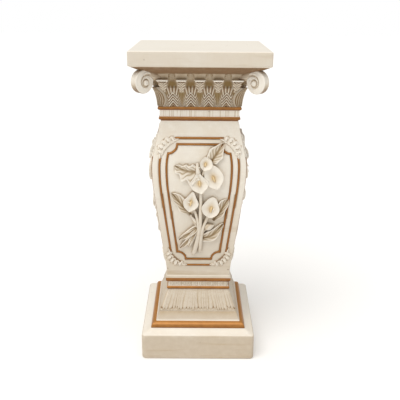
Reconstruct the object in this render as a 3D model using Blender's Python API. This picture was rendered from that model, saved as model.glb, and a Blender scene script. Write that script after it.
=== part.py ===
"""Column pedestal: one casting with a square swelling body, a leaf and volute capital and lily relief.

Metres, +Z up. The origin is the middle of the underside and the front faces -Y.
"""

import math

import bmesh
import bpy
from mathutils import Matrix, Vector

# Heights of the mouldings, stacked from the floor up
PLINTH_HEIGHT = 0.069
LEDGE_RISE = 0.008
BASE_BEAD_HEIGHT = 0.013
STEP_HEIGHT = 0.022
SKIRT_HEIGHT = 0.054
FOOT_BEAD_HEIGHT = 0.008
FOOT_BAND_HEIGHT = 0.013
FOOT_TORUS_HEIGHT = 0.018
BODY_HEIGHT = 0.398
NECK_BEAD_HEIGHT = 0.0075
NECK_BAND_HEIGHT = 0.0155
CAPITAL_BEAD_HEIGHT = 0.008
BELL_HEIGHT = 0.076
SOFFIT_HEIGHT = 0.018
PLATE_HEIGHT = 0.032

# Sides of the square plan at each moulding
PLINTH_SIDE = 0.282
BASE_BEAD_SIDE = 0.2368
STEP_SIDE = 0.213
SKIRT_FOOT_SIDE = 0.191
SKIRT_TOP_SIDE = 0.152
FOOT_BEAD_SIDE = 0.159
FOOT_BAND_SIDE = 0.153
FOOT_TORUS_SIDE = 0.164
BODY_FOOT_SIDE = 0.157
BODY_SHOULDER_SIDE = 0.2172
NECK_SIDE = 0.176
NECK_BEAD_SIDE = 0.1852
NECK_BAND_SIDE = 0.1815
CAPITAL_BEAD_SIDE = 0.1896
BELL_FOOT_SIDE = 0.183
BELL_TOP_SIDE = 0.224
PLATE_SIDE = 0.306

# Bevels on the vertical corners and on the level edges
PLINTH_CORNER = 0.005
PLINTH_EDGE = 0.0045
MOULDING_CORNER = 0.0015
BODY_CORNER = 0.0012
BELL_CORNER = 0.016
PLATE_CORNER = 0.003
PLATE_EDGE = 0.002

# The body's outline: where it is widest, and how soon it turns
SHOULDER_HEIGHT = 0.287
FOOT_TURN = 0.044
FOOT_SLOPE_SHARE = 0.3
SHOULDER_TURN_BELOW = 0.062
SHOULDER_TURN_ABOVE = 0.033
TURN_STEPS = 2
BELL_FLARE = 1.6
BELL_STEPS = 4

# Panel beads on each face
BEAD_WIDTH = 0.0055
BEAD_REACH = 0.0026
OUTER_BEAD_INSET = 0.017
INNER_BEAD_INSET = 0.033
PANEL_TOP_DROP = 0.039
PANEL_BOTTOM_RISE = 0.0305
BEAD_GAP_TOP = 0.014
BEAD_GAP_BOTTOM = 0.0175
NOTCH_RADIUS = 0.0205
NOTCH_STEPS = 3
OUTER_BOTTOM_END_INSET = 0.04775
OUTER_SIDE_TOP_DROP = 0.044
OUTER_SIDE_BOTTOM_RISE = 0.038
ROOT_DEPTH = 0.0015

# Leafy corners of the panel
CORNER_LOBES = 5
CORNER_RADIUS = 0.029
LOBE_LENGTH = 0.016
LOBE_WIDTH = 0.012
LOBE_REACH = 0.005
LOBE_CROWN_SHARE = 0.6

# Lily spray on a face, whose places are shares of its height
SPRAY_HEIGHT_MARGIN = 0.013
STEM_WIDTH = 0.007
STEM_REACH = 0.006
STEM_CROWN_SHARE = 0.6
LILY_REACH = 0.013
FOLIAGE_REACH = 0.009
SPADIX_WIDTH = 0.0045

# Skirt of upright leaves
SKIRT_LEAVES = 8
SKIRT_LEAF_REACH = 0.0034
SKIRT_TIP_DROP = 0.007
SKIRT_ROOT_INSET = 0.004
SKIRT_CROWN_SHARE = 0.35

# Capital leaves
CAPITAL_LEAVES = 4
CORNER_LEAF_INSET = 0.021
FAN_LEAF_WIDTH = 0.025
FAN_LEAF_HEIGHT = 0.034
FAN_LEAF_TOP_DROP = 0.013
FAN_LEAF_REACH = 0.010
STALK_LEAF_WIDTH = 0.026
STALK_LEAF_REACH = 0.006
STALK_TOP_DROP = 0.001

# Corner volutes
VOLUTE_RADIUS = 0.026
VOLUTE_THICKNESS = 0.0195
VOLUTE_WEB_RECESS = 0.0025
VOLUTE_DROP = 0.0175
VOLUTE_INSET = 0.0395
VOLUTE_BAND = 0.0062
VOLUTE_PITCH = 0.0095
VOLUTE_TURNS = 1.5
VOLUTE_STEPS_PER_TURN = 8
VOLUTE_WEB_SIDES = 10
# Start of the scroll band: out and up from the volute's middle, in radii of the band
VOLUTE_LEAD = ((-2.2, 0.5), (-1.1, 0.9))
# Neck of a volute: distance back, underside and top from its middle, in radii of the volute
VOLUTE_NECK = ((2.6, -0.35, 0.45), (1.2, 0.0, 0.85), (0.2, 0.35, 0.9))

CREAM = (0.78, 0.71, 0.60, 1.0)

# Levels between the mouldings
PLINTH_TOP = PLINTH_HEIGHT
BASE_BEAD_FOOT = PLINTH_TOP + LEDGE_RISE
STEP_FOOT = BASE_BEAD_FOOT + BASE_BEAD_HEIGHT
SKIRT_FOOT = STEP_FOOT + STEP_HEIGHT
SKIRT_TOP = SKIRT_FOOT + SKIRT_HEIGHT
FOOT_BAND_FOOT = SKIRT_TOP + FOOT_BEAD_HEIGHT
TORUS_FOOT = FOOT_BAND_FOOT + FOOT_BAND_HEIGHT
BODY_FOOT = TORUS_FOOT + FOOT_TORUS_HEIGHT
SHOULDER = BODY_FOOT + SHOULDER_HEIGHT
NECK = BODY_FOOT + BODY_HEIGHT
NECK_BAND_FOOT = NECK + NECK_BEAD_HEIGHT
CAPITAL_BEAD_FOOT = NECK_BAND_FOOT + NECK_BAND_HEIGHT
BELL_FOOT = CAPITAL_BEAD_FOOT + CAPITAL_BEAD_HEIGHT
BELL_TOP = BELL_FOOT + BELL_HEIGHT
PLATE_FOOT = BELL_TOP + SOFFIT_HEIGHT
PLATE_TOP = PLATE_FOOT + PLATE_HEIGHT


def clear_scene():
    """Remove every object that the scene starts with."""
    for obj in list(bpy.data.objects):
        bpy.data.objects.remove(obj, do_unlink=True)


def blend(low, high, share):
    """Value at a share of the way from low to high."""
    return low + (high - low) * share


def body_half(z):
    """Half-width of the body at a height: eased foot, straight taper, round shoulder, straight neck."""
    foot, shoulder, neck = BODY_FOOT_SIDE / 2, BODY_SHOULDER_SIDE / 2, NECK_SIDE / 2
    if z <= SHOULDER:
        return foot + (shoulder - foot) * taper(max(z - BODY_FOOT, 0.0)) / taper(SHOULDER_HEIGHT)
    return shoulder - (shoulder - neck) * fall(z - SHOULDER) / fall(NECK - SHOULDER)


def taper(rise):
    """Width gained from the foot up to a rise, for a slope of one on the straight stretch."""
    eased = min(rise, FOOT_TURN)
    gained = FOOT_SLOPE_SHARE * eased + (1 - FOOT_SLOPE_SHARE) * eased ** 2 / (2 * FOOT_TURN)
    straight_end = SHOULDER_HEIGHT - SHOULDER_TURN_BELOW
    gained += min(max(rise - FOOT_TURN, 0.0), straight_end - FOOT_TURN)
    turned = max(rise - straight_end, 0.0)
    return gained + turned - turned ** 2 / (2 * SHOULDER_TURN_BELOW)


def fall(rise):
    """Width lost from the shoulder up to a rise, for a slope of one on the straight stretch."""
    turned = min(rise, SHOULDER_TURN_ABOVE)
    return turned ** 2 / (2 * SHOULDER_TURN_ABOVE) + max(rise - SHOULDER_TURN_ABOVE, 0.0)


def body_levels(low, high):
    """Heights from low to high at which the body's outline bends."""
    bends = []
    turns = ((BODY_FOOT, BODY_FOOT + FOOT_TURN),
             (SHOULDER - SHOULDER_TURN_BELOW, SHOULDER),
             (SHOULDER, SHOULDER + SHOULDER_TURN_ABOVE))
    for start, end in turns:
        bends += [blend(start, end, step / TURN_STEPS) for step in range(TURN_STEPS + 1)]
    inside = [z for z in bends if low + BEAD_WIDTH < z < high - BEAD_WIDTH]
    return [low] + sorted(set(inside)) + [high]


def bell_half(z):
    """Half-width of the capital's bell at a height."""
    share = min(max((z - BELL_FOOT) / BELL_HEIGHT, 0.0), 1.0)
    return blend(BELL_FOOT_SIDE, BELL_TOP_SIDE, share ** BELL_FLARE) / 2


def half_round(foot_side, side, top_side, foot, height, corner):
    """Stations of a bead that bulges to a side between two levels."""
    stations = []
    for turn in (-90, -45, 0, 45, 90):
        angle = math.radians(turn)
        share = (1 + math.sin(angle)) / 2
        root = blend(foot_side, top_side, share)
        stations.append((blend(root, side, math.cos(angle)) / 2, foot + height * share, corner))
    return stations


def plinth_stations():
    """Plinth, its sloping ledge and the quarter-round bead that stands on it."""
    half = PLINTH_SIDE / 2
    stations = [(half - PLINTH_EDGE, 0.0, PLINTH_CORNER),
                (half, PLINTH_EDGE, PLINTH_CORNER),
                (half, PLINTH_TOP - PLINTH_EDGE, PLINTH_CORNER),
                (half - PLINTH_EDGE, PLINTH_TOP, PLINTH_CORNER)]
    for turn in (0, 30, 60, 90):
        angle = math.radians(turn)
        width = blend(STEP_SIDE, BASE_BEAD_SIDE, math.cos(angle))
        level = BASE_BEAD_FOOT + BASE_BEAD_HEIGHT * math.sin(angle)
        stations.append((width / 2, level, MOULDING_CORNER))
    return stations


def foot_stations():
    """Sloping skirt, foot bead, hollow band and torus under the body."""
    corner = MOULDING_CORNER
    stations = [(SKIRT_FOOT_SIDE / 2, SKIRT_FOOT, corner)]
    stations += half_round(SKIRT_TOP_SIDE, FOOT_BEAD_SIDE, FOOT_BAND_SIDE, SKIRT_TOP, FOOT_BEAD_HEIGHT,
                           corner)
    stations += half_round(FOOT_BAND_SIDE, FOOT_TORUS_SIDE, BODY_FOOT_SIDE, TORUS_FOOT, FOOT_TORUS_HEIGHT,
                           corner)
    return stations


def body_stations():
    """Swelling body, from just above its foot to just below its neck."""
    return [(body_half(z), z, BODY_CORNER) for z in body_levels(BODY_FOOT, NECK)[1:-1]]


def neck_stations():
    """Two beads with a band between them."""
    corner = MOULDING_CORNER
    stations = half_round(NECK_SIDE, NECK_BEAD_SIDE, NECK_BAND_SIDE, NECK, NECK_BEAD_HEIGHT, corner)
    stations += half_round(NECK_BAND_SIDE, CAPITAL_BEAD_SIDE, BELL_FOOT_SIDE, CAPITAL_BEAD_FOOT,
                           CAPITAL_BEAD_HEIGHT, corner)
    return stations


def capital_stations():
    """Flaring bell with cut corners, sloping soffit and plate."""
    stations = []
    for step in range(1, BELL_STEPS + 1):
        share = step / BELL_STEPS
        z = blend(BELL_FOOT, BELL_TOP, share)
        stations.append((bell_half(z), z, blend(MOULDING_CORNER, BELL_CORNER, share)))
    half = PLATE_SIDE / 2
    stations += [(half - PLATE_EDGE, PLATE_FOOT, PLATE_CORNER),
                 (half, PLATE_FOOT + PLATE_EDGE, PLATE_CORNER),
                 (half, PLATE_TOP - PLATE_EDGE, PLATE_CORNER),
                 (half - PLATE_EDGE, PLATE_TOP, PLATE_CORNER)]
    return stations


def square_ring(half, z, corner):
    """Square of eight points, with its corners cut."""
    flat = half - corner
    ring = []
    for x, y in ((-flat, -half), (flat, -half), (half, -flat), (half, flat),
                 (flat, half), (-flat, half), (-half, flat), (-half, -flat)):
        ring.append((x, y, z))
    return ring


def loft(rings, closed=False):
    """Bmesh of a closed body that runs through rings with the same number of points."""
    bm = bmesh.new()
    loops = []
    for ring in rings:
        verts = [bm.verts.new(point) for point in ring]
        loops.append([bm.edges.new(pair) for pair in zip(verts, verts[1:] + verts[:1])])
    for low, high in zip(loops, loops[1:]):
        bmesh.ops.bridge_loops(bm, edges=low + high)
    if closed:
        bmesh.ops.bridge_loops(bm, edges=loops[-1] + loops[0])
    else:
        for end in (loops[0], loops[-1]):
            bmesh.ops.contextual_create(bm, geom=end)
    bmesh.ops.recalc_face_normals(bm, faces=bm.faces)
    return bm


def to_object(name, bm, collection, quarter=0, eighth=False):
    """Store a bmesh as an object, turned by quarters (and an eighth) about the pedestal's axis."""
    mesh = bpy.data.meshes.new(name)
    bm.to_mesh(mesh)
    bm.free()
    obj = bpy.data.objects.new(name, mesh)
    obj.rotation_euler.z = math.radians(90 * quarter + (45 if eighth else 0))
    collection.objects.link(obj)
    return obj


def on_body(x, z, reach):
    """Point on the front face of the body, or proud of it."""
    return (x, -body_half(z) - reach, z)


def on_bell(x, z, reach):
    """Point on the front face of the bell, or proud of it."""
    return (x, -bell_half(z) - reach, z)


def on_bell_corner(x, z, reach):
    """Point on the cut corner of the bell, or proud of it."""
    share = min(max((z - BELL_FOOT) / BELL_HEIGHT, 0.0), 1.0)
    corner = blend(MOULDING_CORNER, BELL_CORNER, share)
    return (x, -(2 * bell_half(z) - corner) / math.sqrt(2) - reach, z)


def bead_section():
    """Half-round panel bead: distances across it and out from the face."""
    return ((-BEAD_WIDTH / 2, -ROOT_DEPTH), (-BEAD_WIDTH / 4, BEAD_REACH),
            (BEAD_WIDTH / 4, BEAD_REACH), (BEAD_WIDTH / 2, -ROOT_DEPTH))


def sweep(path, section, closed=False):
    """Bead along a path of (x, z) points on the body's face, mitred at its corners."""
    rings = []
    count = len(path)
    for index, point in enumerate(path):
        here = Vector(point)
        before = Vector(path[index - 1]) if closed or index else here
        after = Vector(path[(index + 1) % count]) if closed or index < count - 1 else here
        arrive = (here - before).normalized() if here != before else (after - here).normalized()
        leave = (after - here).normalized() if after != here else arrive
        across = Vector((-(arrive + leave).y, (arrive + leave).x)).normalized()
        mitre = 1 / max(across.dot(Vector((-arrive.y, arrive.x))), 0.5)
        rings.append([on_body(here.x + across.x * side * mitre, here.y + across.y * side * mitre, out)
                      for side, out in section])
    return loft(rings, closed)


def inner_bead_path():
    """Closed outline of the inner bead: straight sides and four hollow corners."""
    top = NECK - PANEL_TOP_DROP - BEAD_GAP_TOP
    bottom = BODY_FOOT + PANEL_BOTTOM_RISE + BEAD_GAP_BOTTOM
    side_levels = body_levels(bottom + NOTCH_RADIUS, top - NOTCH_RADIUS)
    right = [(body_half(z) - INNER_BEAD_INSET, z) for z in side_levels]
    path = notch(right[0][0], bottom, 180, 90) + right[1:-1] + notch(right[-1][0], top, 270, 180)
    left = [(-x, z) for x, z in reversed(path)]
    return path + left


def notch(corner_x, corner_z, start, end):
    """Quarter circle hollowed out of the bead's corner."""
    points = []
    for step in range(NOTCH_STEPS + 1):
        angle = math.radians(blend(start, end, step / NOTCH_STEPS))
        points.append((corner_x + NOTCH_RADIUS * math.cos(angle), corner_z + NOTCH_RADIUS * math.sin(angle)))
    return points


def outer_bead_paths():
    """The four straight lengths of the outer bead, open at the panel's corners."""
    top = NECK - PANEL_TOP_DROP
    bottom = BODY_FOOT + PANEL_BOTTOM_RISE
    top_end = body_half(top) - OUTER_BEAD_INSET - NOTCH_RADIUS
    bottom_end = body_half(bottom) - OUTER_BOTTOM_END_INSET
    levels = body_levels(bottom + OUTER_SIDE_BOTTOM_RISE, top - OUTER_SIDE_TOP_DROP)
    right = [(body_half(z) - OUTER_BEAD_INSET, z) for z in levels]
    left = [(-x, z) for x, z in right]
    return [right, left, [(-top_end, top), (top_end, top)], [(-bottom_end, bottom), (bottom_end, bottom)]]


def corner_lobes():
    """Leafy corner ornaments: lobes that fan out round each notch of the panel."""
    top = NECK - PANEL_TOP_DROP - BEAD_GAP_TOP - NOTCH_RADIUS
    bottom = BODY_FOOT + PANEL_BOTTOM_RISE + BEAD_GAP_BOTTOM + NOTCH_RADIUS
    lobes = []
    for z, lift in ((top, 1), (bottom, -1)):
        centre_x = body_half(z) - INNER_BEAD_INSET - NOTCH_RADIUS
        for side in (-1, 1):
            for index in range(CORNER_LOBES):
                angle = math.radians(90 * index / (CORNER_LOBES - 1))
                out = Vector((side * math.cos(angle), lift * math.sin(angle)))
                start = Vector((side * centre_x, z)) + out * CORNER_RADIUS
                lobes.append(lobe(start, out))
    return lobes


def lobe(start, out):
    """Low pointed boss that lies along a direction on the face."""
    across = Vector((-out.y, out.x))
    ring = []
    for turn in range(0, 360, 90):
        angle = math.radians(turn)
        along = (1 + math.cos(angle)) / 2 * LOBE_LENGTH
        point = start + out * along + across * math.sin(angle) * LOBE_WIDTH / 2
        ring.append(on_body(point.x, point.y, -ROOT_DEPTH))
    crown = start + out * LOBE_LENGTH * LOBE_CROWN_SHARE
    bm = bmesh.new()
    base = bm.faces.new([bm.verts.new(point) for point in ring])
    raised = bmesh.ops.poke(bm, faces=[base])
    raised["verts"][0].co = on_body(crown.x, crown.y, LOBE_REACH)
    bmesh.ops.contextual_create(bm, geom=[edge for edge in bm.edges if edge.is_boundary])
    bmesh.ops.recalc_face_normals(bm, faces=bm.faces)
    return bm


def spray_frame():
    """Lowest level and height of the lily spray, inside the inner bead."""
    low = BODY_FOOT + PANEL_BOTTOM_RISE + BEAD_GAP_BOTTOM + SPRAY_HEIGHT_MARGIN
    high = NECK - PANEL_TOP_DROP - BEAD_GAP_TOP
    return low, high - low


def on_spray(x, z, reach):
    """Point of the spray, given by shares of its height across and up from its foot."""
    low, height = spray_frame()
    return on_body(x * height, low + z * height, reach)


def lily(throat, tip, width):
    """Open lily: a cup that flares from its throat to a pointed rim."""
    outline = ((0.0, 0.12, 0.4), (0.4, 0.42, 0.8), (0.75, 0.48, 1.0), (1.0, 0.0, 0.8),
               (0.75, -0.48, 1.0), (0.4, -0.42, 0.8), (0.0, -0.12, 0.4))
    start, along = Vector(throat), Vector(tip) - Vector(throat)
    across = Vector((-along.y, along.x)).normalized() * width
    base_ring, rim = [], []
    for share, side, lift in outline:
        point = start + along * share + across * side
        rim.append(on_spray(point.x, point.y, LILY_REACH * lift))
        inner = start + along * blend(share, 0.5, 0.3) + across * side * 0.7
        base_ring.append(on_spray(inner.x, inner.y, -ROOT_DEPTH))
    bm = loft([base_ring, rim])
    bm.faces.ensure_lookup_table()
    hollow = bmesh.ops.poke(bm, faces=[bm.faces[-1]])
    floor = start + along * 0.5
    hollow["verts"][0].co = on_spray(floor.x, floor.y, LILY_REACH * 0.35)
    return bm


def spadix(throat, tip):
    """Slim club that stands in a lily's cup."""
    start, along = Vector(throat), Vector(tip) - Vector(throat)
    across = Vector((-along.y, along.x)).normalized() * SPADIX_WIDTH / 2 / spray_frame()[1]
    rings = []
    for share, size in ((0.35, 0.7), (0.62, 1.0), (0.74, 0.4)):
        point = start + along * share
        low = LILY_REACH * 0.3
        high = LILY_REACH * blend(0.5, 0.9, share)
        rings.append([on_spray(*(point + across * size), low), on_spray(*point, high),
                      on_spray(*(point - across * size), low)])
    return loft(rings)


def foliage(root, tip, width, fold):
    """Pointed leaf from root to tip; fold lowers (negative) or raises its midrib against its edges."""
    start, along = Vector(root), Vector(tip) - Vector(root)
    across = Vector((-along.y, along.x)).normalized() * width / 2
    rings = []
    for share, side, lift in ((0.0, 0.25, 0.6), (0.35, 1.0, 1.0), (0.72, 0.72, 1.0), (1.0, 0.06, 0.6)):
        point = start + along * share
        left, right = point + across * side, point - across * side
        edge = FOLIAGE_REACH * lift
        rings.append([on_spray(*left, -ROOT_DEPTH), on_spray(*left, edge),
                      on_spray(*point, edge * (1 + fold)),
                      on_spray(*right, edge), on_spray(*right, -ROOT_DEPTH)])
    return loft(rings)


def stem(points):
    """Stem along points of the spray."""
    rings = []
    half = STEM_WIDTH / 2 / spray_frame()[1]
    for index, point in enumerate(points):
        here = Vector(point)
        after = Vector(points[min(index + 1, len(points) - 1)])
        before = Vector(points[max(index - 1, 0)])
        along = (after - before).normalized()
        across = Vector((-along.y, along.x)) * half
        crown = across * STEM_CROWN_SHARE
        rings.append([on_spray(*(here + across), -ROOT_DEPTH), on_spray(*(here + crown), STEM_REACH),
                      on_spray(*(here - crown), STEM_REACH), on_spray(*(here - across), -ROOT_DEPTH)])
    return loft(rings)


def full_spray():
    """Five lilies, their leaves, a bud and their stems."""
    lilies = (((0.055, 0.88), (0.038, 0.805), 0.11), ((-0.006, 0.815), (0.017, 0.603), 0.16),
              ((0.062, 0.83), (0.162, 0.643), 0.155), ((-0.040, 0.60), (-0.077, 0.436), 0.125),
              ((0.105, 0.555), (0.102, 0.372), 0.13))
    leaves = (((0.105, 0.855), (0.186, 0.998), 0.10, -0.4), ((0.0, 0.76), (-0.186, 0.822), 0.12, 0.3),
              ((-0.075, 0.38), (-0.215, 0.571), 0.11, -0.4), ((0.13, 0.34), (0.236, 0.525), 0.055, -0.4),
              ((0.04, 0.185), (0.197, 0.298), 0.09, -0.4), ((0.045, 0.245), (0.125, 0.30), 0.07, 0.3),
              ((-0.02, 0.24), (-0.155, 0.148), 0.05, 0.3), ((-0.02, 0.20), (-0.142, 0.072), 0.045, 0.3),
              ((-0.01, 0.31), (-0.055, 0.37), 0.045, 0.4))
    stems = (((0.012, 0.62), (0.01, 0.45), (0.01, 0.30), (-0.012, 0.13), (-0.042, 0.007)),
             ((0.085, 0.40), (0.04, 0.30), (0.012, 0.16), (0.01, 0.04)),
             ((-0.05, 0.47), (-0.012, 0.36), (0.0, 0.24)))
    return spray_bodies(lilies, leaves, stems)


def plain_spray():
    """Plainer spray of one lily and two leaves, for the back."""
    lilies = (((0.0, 0.80), (0.0, 0.58), 0.17),)
    leaves = (((0.0, 0.38), (-0.17, 0.56), 0.10, -0.4), ((0.0, 0.30), (0.17, 0.47), 0.10, -0.4))
    stems = (((0.0, 0.60), (0.0, 0.30), (-0.02, 0.05)),)
    return spray_bodies(lilies, leaves, stems)


def spray_bodies(lilies, leaves, stems):
    """Solids of a spray from its lists of lilies, leaves and stems."""
    bodies = [lily(*place_of) for place_of in lilies]
    bodies += [spadix(throat, tip) for throat, tip, width in lilies]
    bodies += [foliage(*place_of) for place_of in leaves]
    bodies += [stem(points) for points in stems]
    return bodies


def skirt_ring(side, z, reach, tip_drop):
    """Square ring that rises on each leaf and dips between the leaves."""
    ring = []
    half = side / 2
    for quarter in range(4):
        turn = Matrix.Rotation(math.radians(90 * quarter), 3, "Z")
        for index in range(3 * SKIRT_LEAVES):
            share = index / (3 * SKIRT_LEAVES)
            on_leaf = index % 3 != 0
            out = half + (reach if on_leaf else 0.0)
            across = blend(-half, half, share)
            ring.append(turn @ Vector((across, -out, z - (tip_drop if on_leaf else 0.0))))
    return ring


def skirt():
    """Skirt of upright leaves with scalloped tips."""
    tip_side, tip_level = SKIRT_FOOT_SIDE - SKIRT_TIP_DROP, SKIRT_FOOT + SKIRT_TIP_DROP
    crown_side = blend(SKIRT_TOP_SIDE, SKIRT_FOOT_SIDE, SKIRT_CROWN_SHARE)
    crown_level = blend(SKIRT_TOP, SKIRT_FOOT, SKIRT_CROWN_SHARE)
    rings = [skirt_ring(SKIRT_TOP_SIDE, SKIRT_TOP, 0.0, 0.0),
             skirt_ring(crown_side, crown_level, SKIRT_LEAF_REACH, 0.0),
             skirt_ring(tip_side, tip_level, SKIRT_LEAF_REACH, SKIRT_TIP_DROP),
             skirt_ring(tip_side - 2 * SKIRT_ROOT_INSET, tip_level, 0.0, 0.0)]
    return loft(rings)


def fan_leaf(surface):
    """Flared capital leaf with a hollow front and a thick lip at its top, standing on a surface."""
    top = BELL_TOP - FAN_LEAF_TOP_DROP
    rows = ((0.0, 0.35, 0.35, 0.45), (0.82, 0.9, 0.75, 0.4), (0.9, 1.0, 1.2, 1.1), (1.0, 1.0, 1.1, 1.0))
    rings = []
    for share, wide, edge, middle in rows:
        z = top - FAN_LEAF_HEIGHT * (1 - share)
        side = FAN_LEAF_WIDTH / 2 * wide
        rings.append([surface(-side, z, -ROOT_DEPTH), surface(-side, z, edge * FAN_LEAF_REACH),
                      surface(0.0, z, middle * FAN_LEAF_REACH),
                      surface(side, z, edge * FAN_LEAF_REACH), surface(side, z, -ROOT_DEPTH)])
    return loft(rings)


def stalk_leaf():
    """Ribbed capital leaf, broad at its foot, that narrows to a stalk under the soffit."""
    top = BELL_TOP - STALK_TOP_DROP
    rings = []
    for share, wide in ((0.0, 1.0), (0.5, 0.5), (1.0, 0.3)):
        z = blend(BELL_FOOT, top, share)
        side = STALK_LEAF_WIDTH / 2 * wide
        rings.append([on_bell(-side, z, -ROOT_DEPTH), on_bell(0.0, z, STALK_LEAF_REACH),
                      on_bell(side, z, -ROOT_DEPTH)])
    return loft(rings)


def shifted(bm, across, z):
    """The same bmesh moved sideways on a bell face, spread as the bell widens."""
    for vert in bm.verts:
        vert.co.x += across * bell_half(vert.co.z) / bell_half(z)
    return bm


def in_volute_plane(s, z, t):
    """Point given by its distance out along the diagonal, its height and its distance off the diagonal."""
    return (t, -s, z)


def volute_centre():
    """Distance out along the diagonal and height of a volute's eye."""
    return PLATE_SIDE / math.sqrt(2) - VOLUTE_INSET, BELL_TOP - VOLUTE_DROP


def volute_band():
    """Scroll band: it leaves the bell, rolls over the top and winds inwards."""
    out, level = volute_centre()
    radius = VOLUTE_RADIUS - VOLUTE_BAND / 2
    path = [(out + across * radius, level + up * radius) for across, up in VOLUTE_LEAD]
    count = round(VOLUTE_TURNS * VOLUTE_STEPS_PER_TURN)
    for index in range(count + 1):
        turn = index / VOLUTE_STEPS_PER_TURN
        angle = math.radians(90 - 360 * turn)
        size = radius - VOLUTE_PITCH * turn
        path.append((out + size * math.cos(angle), level + size * math.sin(angle)))
    half = VOLUTE_THICKNESS / 2
    rings = []
    for index, point in enumerate(path):
        here = Vector(point)
        after = Vector(path[min(index + 1, len(path) - 1)])
        before = Vector(path[max(index - 1, 0)])
        along = (after - before).normalized()
        across = Vector((-along.y, along.x)) * VOLUTE_BAND / 2
        inner, outer = here - across, here + across
        rings.append([in_volute_plane(inner.x, inner.y, -half), in_volute_plane(outer.x, outer.y, -half),
                      in_volute_plane(outer.x, outer.y, half), in_volute_plane(inner.x, inner.y, half)])
    return loft(rings)


def volute_web():
    """Round slab between the turns of the scroll, sunk below the band's edges."""
    out, level = volute_centre()
    radius = VOLUTE_RADIUS - VOLUTE_BAND / 2
    bm = bmesh.new()
    middle = Matrix.Translation(Vector(in_volute_plane(out, level, 0.0)))
    upright = middle @ Matrix.Rotation(math.radians(90), 4, "Y")
    bmesh.ops.create_cone(bm, cap_ends=True, segments=VOLUTE_WEB_SIDES, radius1=radius, radius2=radius,
                          depth=VOLUTE_THICKNESS - 2 * VOLUTE_WEB_RECESS, matrix=upright)
    return bm


def volute_neck():
    """Tapered stalk that carries the scroll out from under the plate."""
    out, level = volute_centre()
    rings = []
    half = VOLUTE_THICKNESS / 2 - VOLUTE_WEB_RECESS
    for reach, low, high in VOLUTE_NECK:
        s = out - reach * VOLUTE_RADIUS
        bottom, top = level + low * VOLUTE_RADIUS, level + high * VOLUTE_RADIUS
        rings.append([in_volute_plane(s, bottom, -half), in_volute_plane(s, top, -half),
                      in_volute_plane(s, top, half), in_volute_plane(s, bottom, half)])
    return loft(rings)


def add_panels(relief):
    """Beads, leafy corners and lily sprays on the four faces."""
    for quarter in range(4):
        to_object("inner_bead", sweep(inner_bead_path(), bead_section(), closed=True), relief, quarter)
        for path in outer_bead_paths():
            to_object("outer_bead", sweep(path, bead_section()), relief, quarter)
        for bm in corner_lobes():
            to_object("corner_lobe", bm, relief, quarter)
        bodies = plain_spray() if quarter == 2 else full_spray()
        for bm in bodies:
            to_object("spray", bm, relief, quarter)


def add_capital(relief):
    """Leaves round the bell and a volute at each corner."""
    middle = BELL_TOP - FAN_LEAF_TOP_DROP
    spacing = 2 * (bell_half(middle) - CORNER_LEAF_INSET) / CAPITAL_LEAVES
    for quarter in range(4):
        for index in range(CAPITAL_LEAVES):
            across = (index - (CAPITAL_LEAVES - 1) / 2) * spacing
            to_object("stalk_leaf", shifted(stalk_leaf(), across, middle), relief, quarter)
        for index in range(1, CAPITAL_LEAVES):
            across = (index - CAPITAL_LEAVES / 2) * spacing
            to_object("fan_leaf", shifted(fan_leaf(on_bell), across, middle), relief, quarter)
        to_object("corner_leaf", fan_leaf(on_bell_corner), relief, quarter, True)
        to_object("volute_band", volute_band(), relief, quarter, True)
        to_object("volute_web", volute_web(), relief, quarter, True)
        to_object("volute_neck", volute_neck(), relief, quarter, True)


def painted_plaster():
    """Cream paint over the casting."""
    material = bpy.data.materials.new("painted_plaster")
    material.use_nodes = True
    shader = material.node_tree.nodes["Principled BSDF"]
    shader.inputs["Base Color"].default_value = CREAM
    shader.inputs["Roughness"].default_value = 0.6
    shader.inputs["Metallic"].default_value = 0.0
    return material


def build():
    """Model the pedestal: a square core with its relief fused on."""
    clear_scene()
    scene = bpy.context.scene.collection
    relief = bpy.data.collections.new("relief")
    scene.children.link(relief)
    stations = plinth_stations() + foot_stations() + body_stations() + neck_stations() + capital_stations()
    core = loft([square_ring(*station) for station in stations])
    pedestal = to_object("pedestal", core, scene)
    pedestal.data.materials.append(painted_plaster())
    to_object("skirt", skirt(), relief)
    add_panels(relief)
    add_capital(relief)
    for obj in relief.objects:
        obj.hide_render = True
        obj.display_type = "WIRE"
    fuse = pedestal.modifiers.new("fuse_relief", "BOOLEAN")
    fuse.operation = "UNION"
    fuse.operand_type = "COLLECTION"
    fuse.collection = relief
    fuse.solver = "EXACT"


build()
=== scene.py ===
"""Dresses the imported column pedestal: cream cast plaster, gold beads, carved leaves and calla lilies.

Metres, +Z up, the front faces -Y. Relief is given in millimetres on a face: across, up, and out from it.
"""

import logging
import math
from dataclasses import dataclass
from enum import Enum
from typing import Callable, ClassVar, Sequence

import bmesh
import bpy
import numpy as np
from mathutils import Matrix, Vector
from mathutils.bvhtree import BVHTree


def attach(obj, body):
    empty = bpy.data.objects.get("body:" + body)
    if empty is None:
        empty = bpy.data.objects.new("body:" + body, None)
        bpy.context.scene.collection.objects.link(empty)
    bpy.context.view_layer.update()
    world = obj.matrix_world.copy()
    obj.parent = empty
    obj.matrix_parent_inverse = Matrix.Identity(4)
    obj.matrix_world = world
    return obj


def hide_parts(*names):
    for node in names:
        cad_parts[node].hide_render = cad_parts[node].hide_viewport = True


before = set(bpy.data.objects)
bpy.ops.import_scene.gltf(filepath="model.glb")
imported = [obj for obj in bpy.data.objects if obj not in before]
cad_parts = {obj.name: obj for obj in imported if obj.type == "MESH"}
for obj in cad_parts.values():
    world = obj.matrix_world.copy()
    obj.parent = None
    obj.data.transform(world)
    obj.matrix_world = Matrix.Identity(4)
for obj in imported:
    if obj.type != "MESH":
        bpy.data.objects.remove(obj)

LOG = logging.getLogger("pedestal")
MM = 0.001
Array = np.ndarray
Mesh = bmesh.types.BMesh
Coats = dict["Coat", Array]
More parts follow.
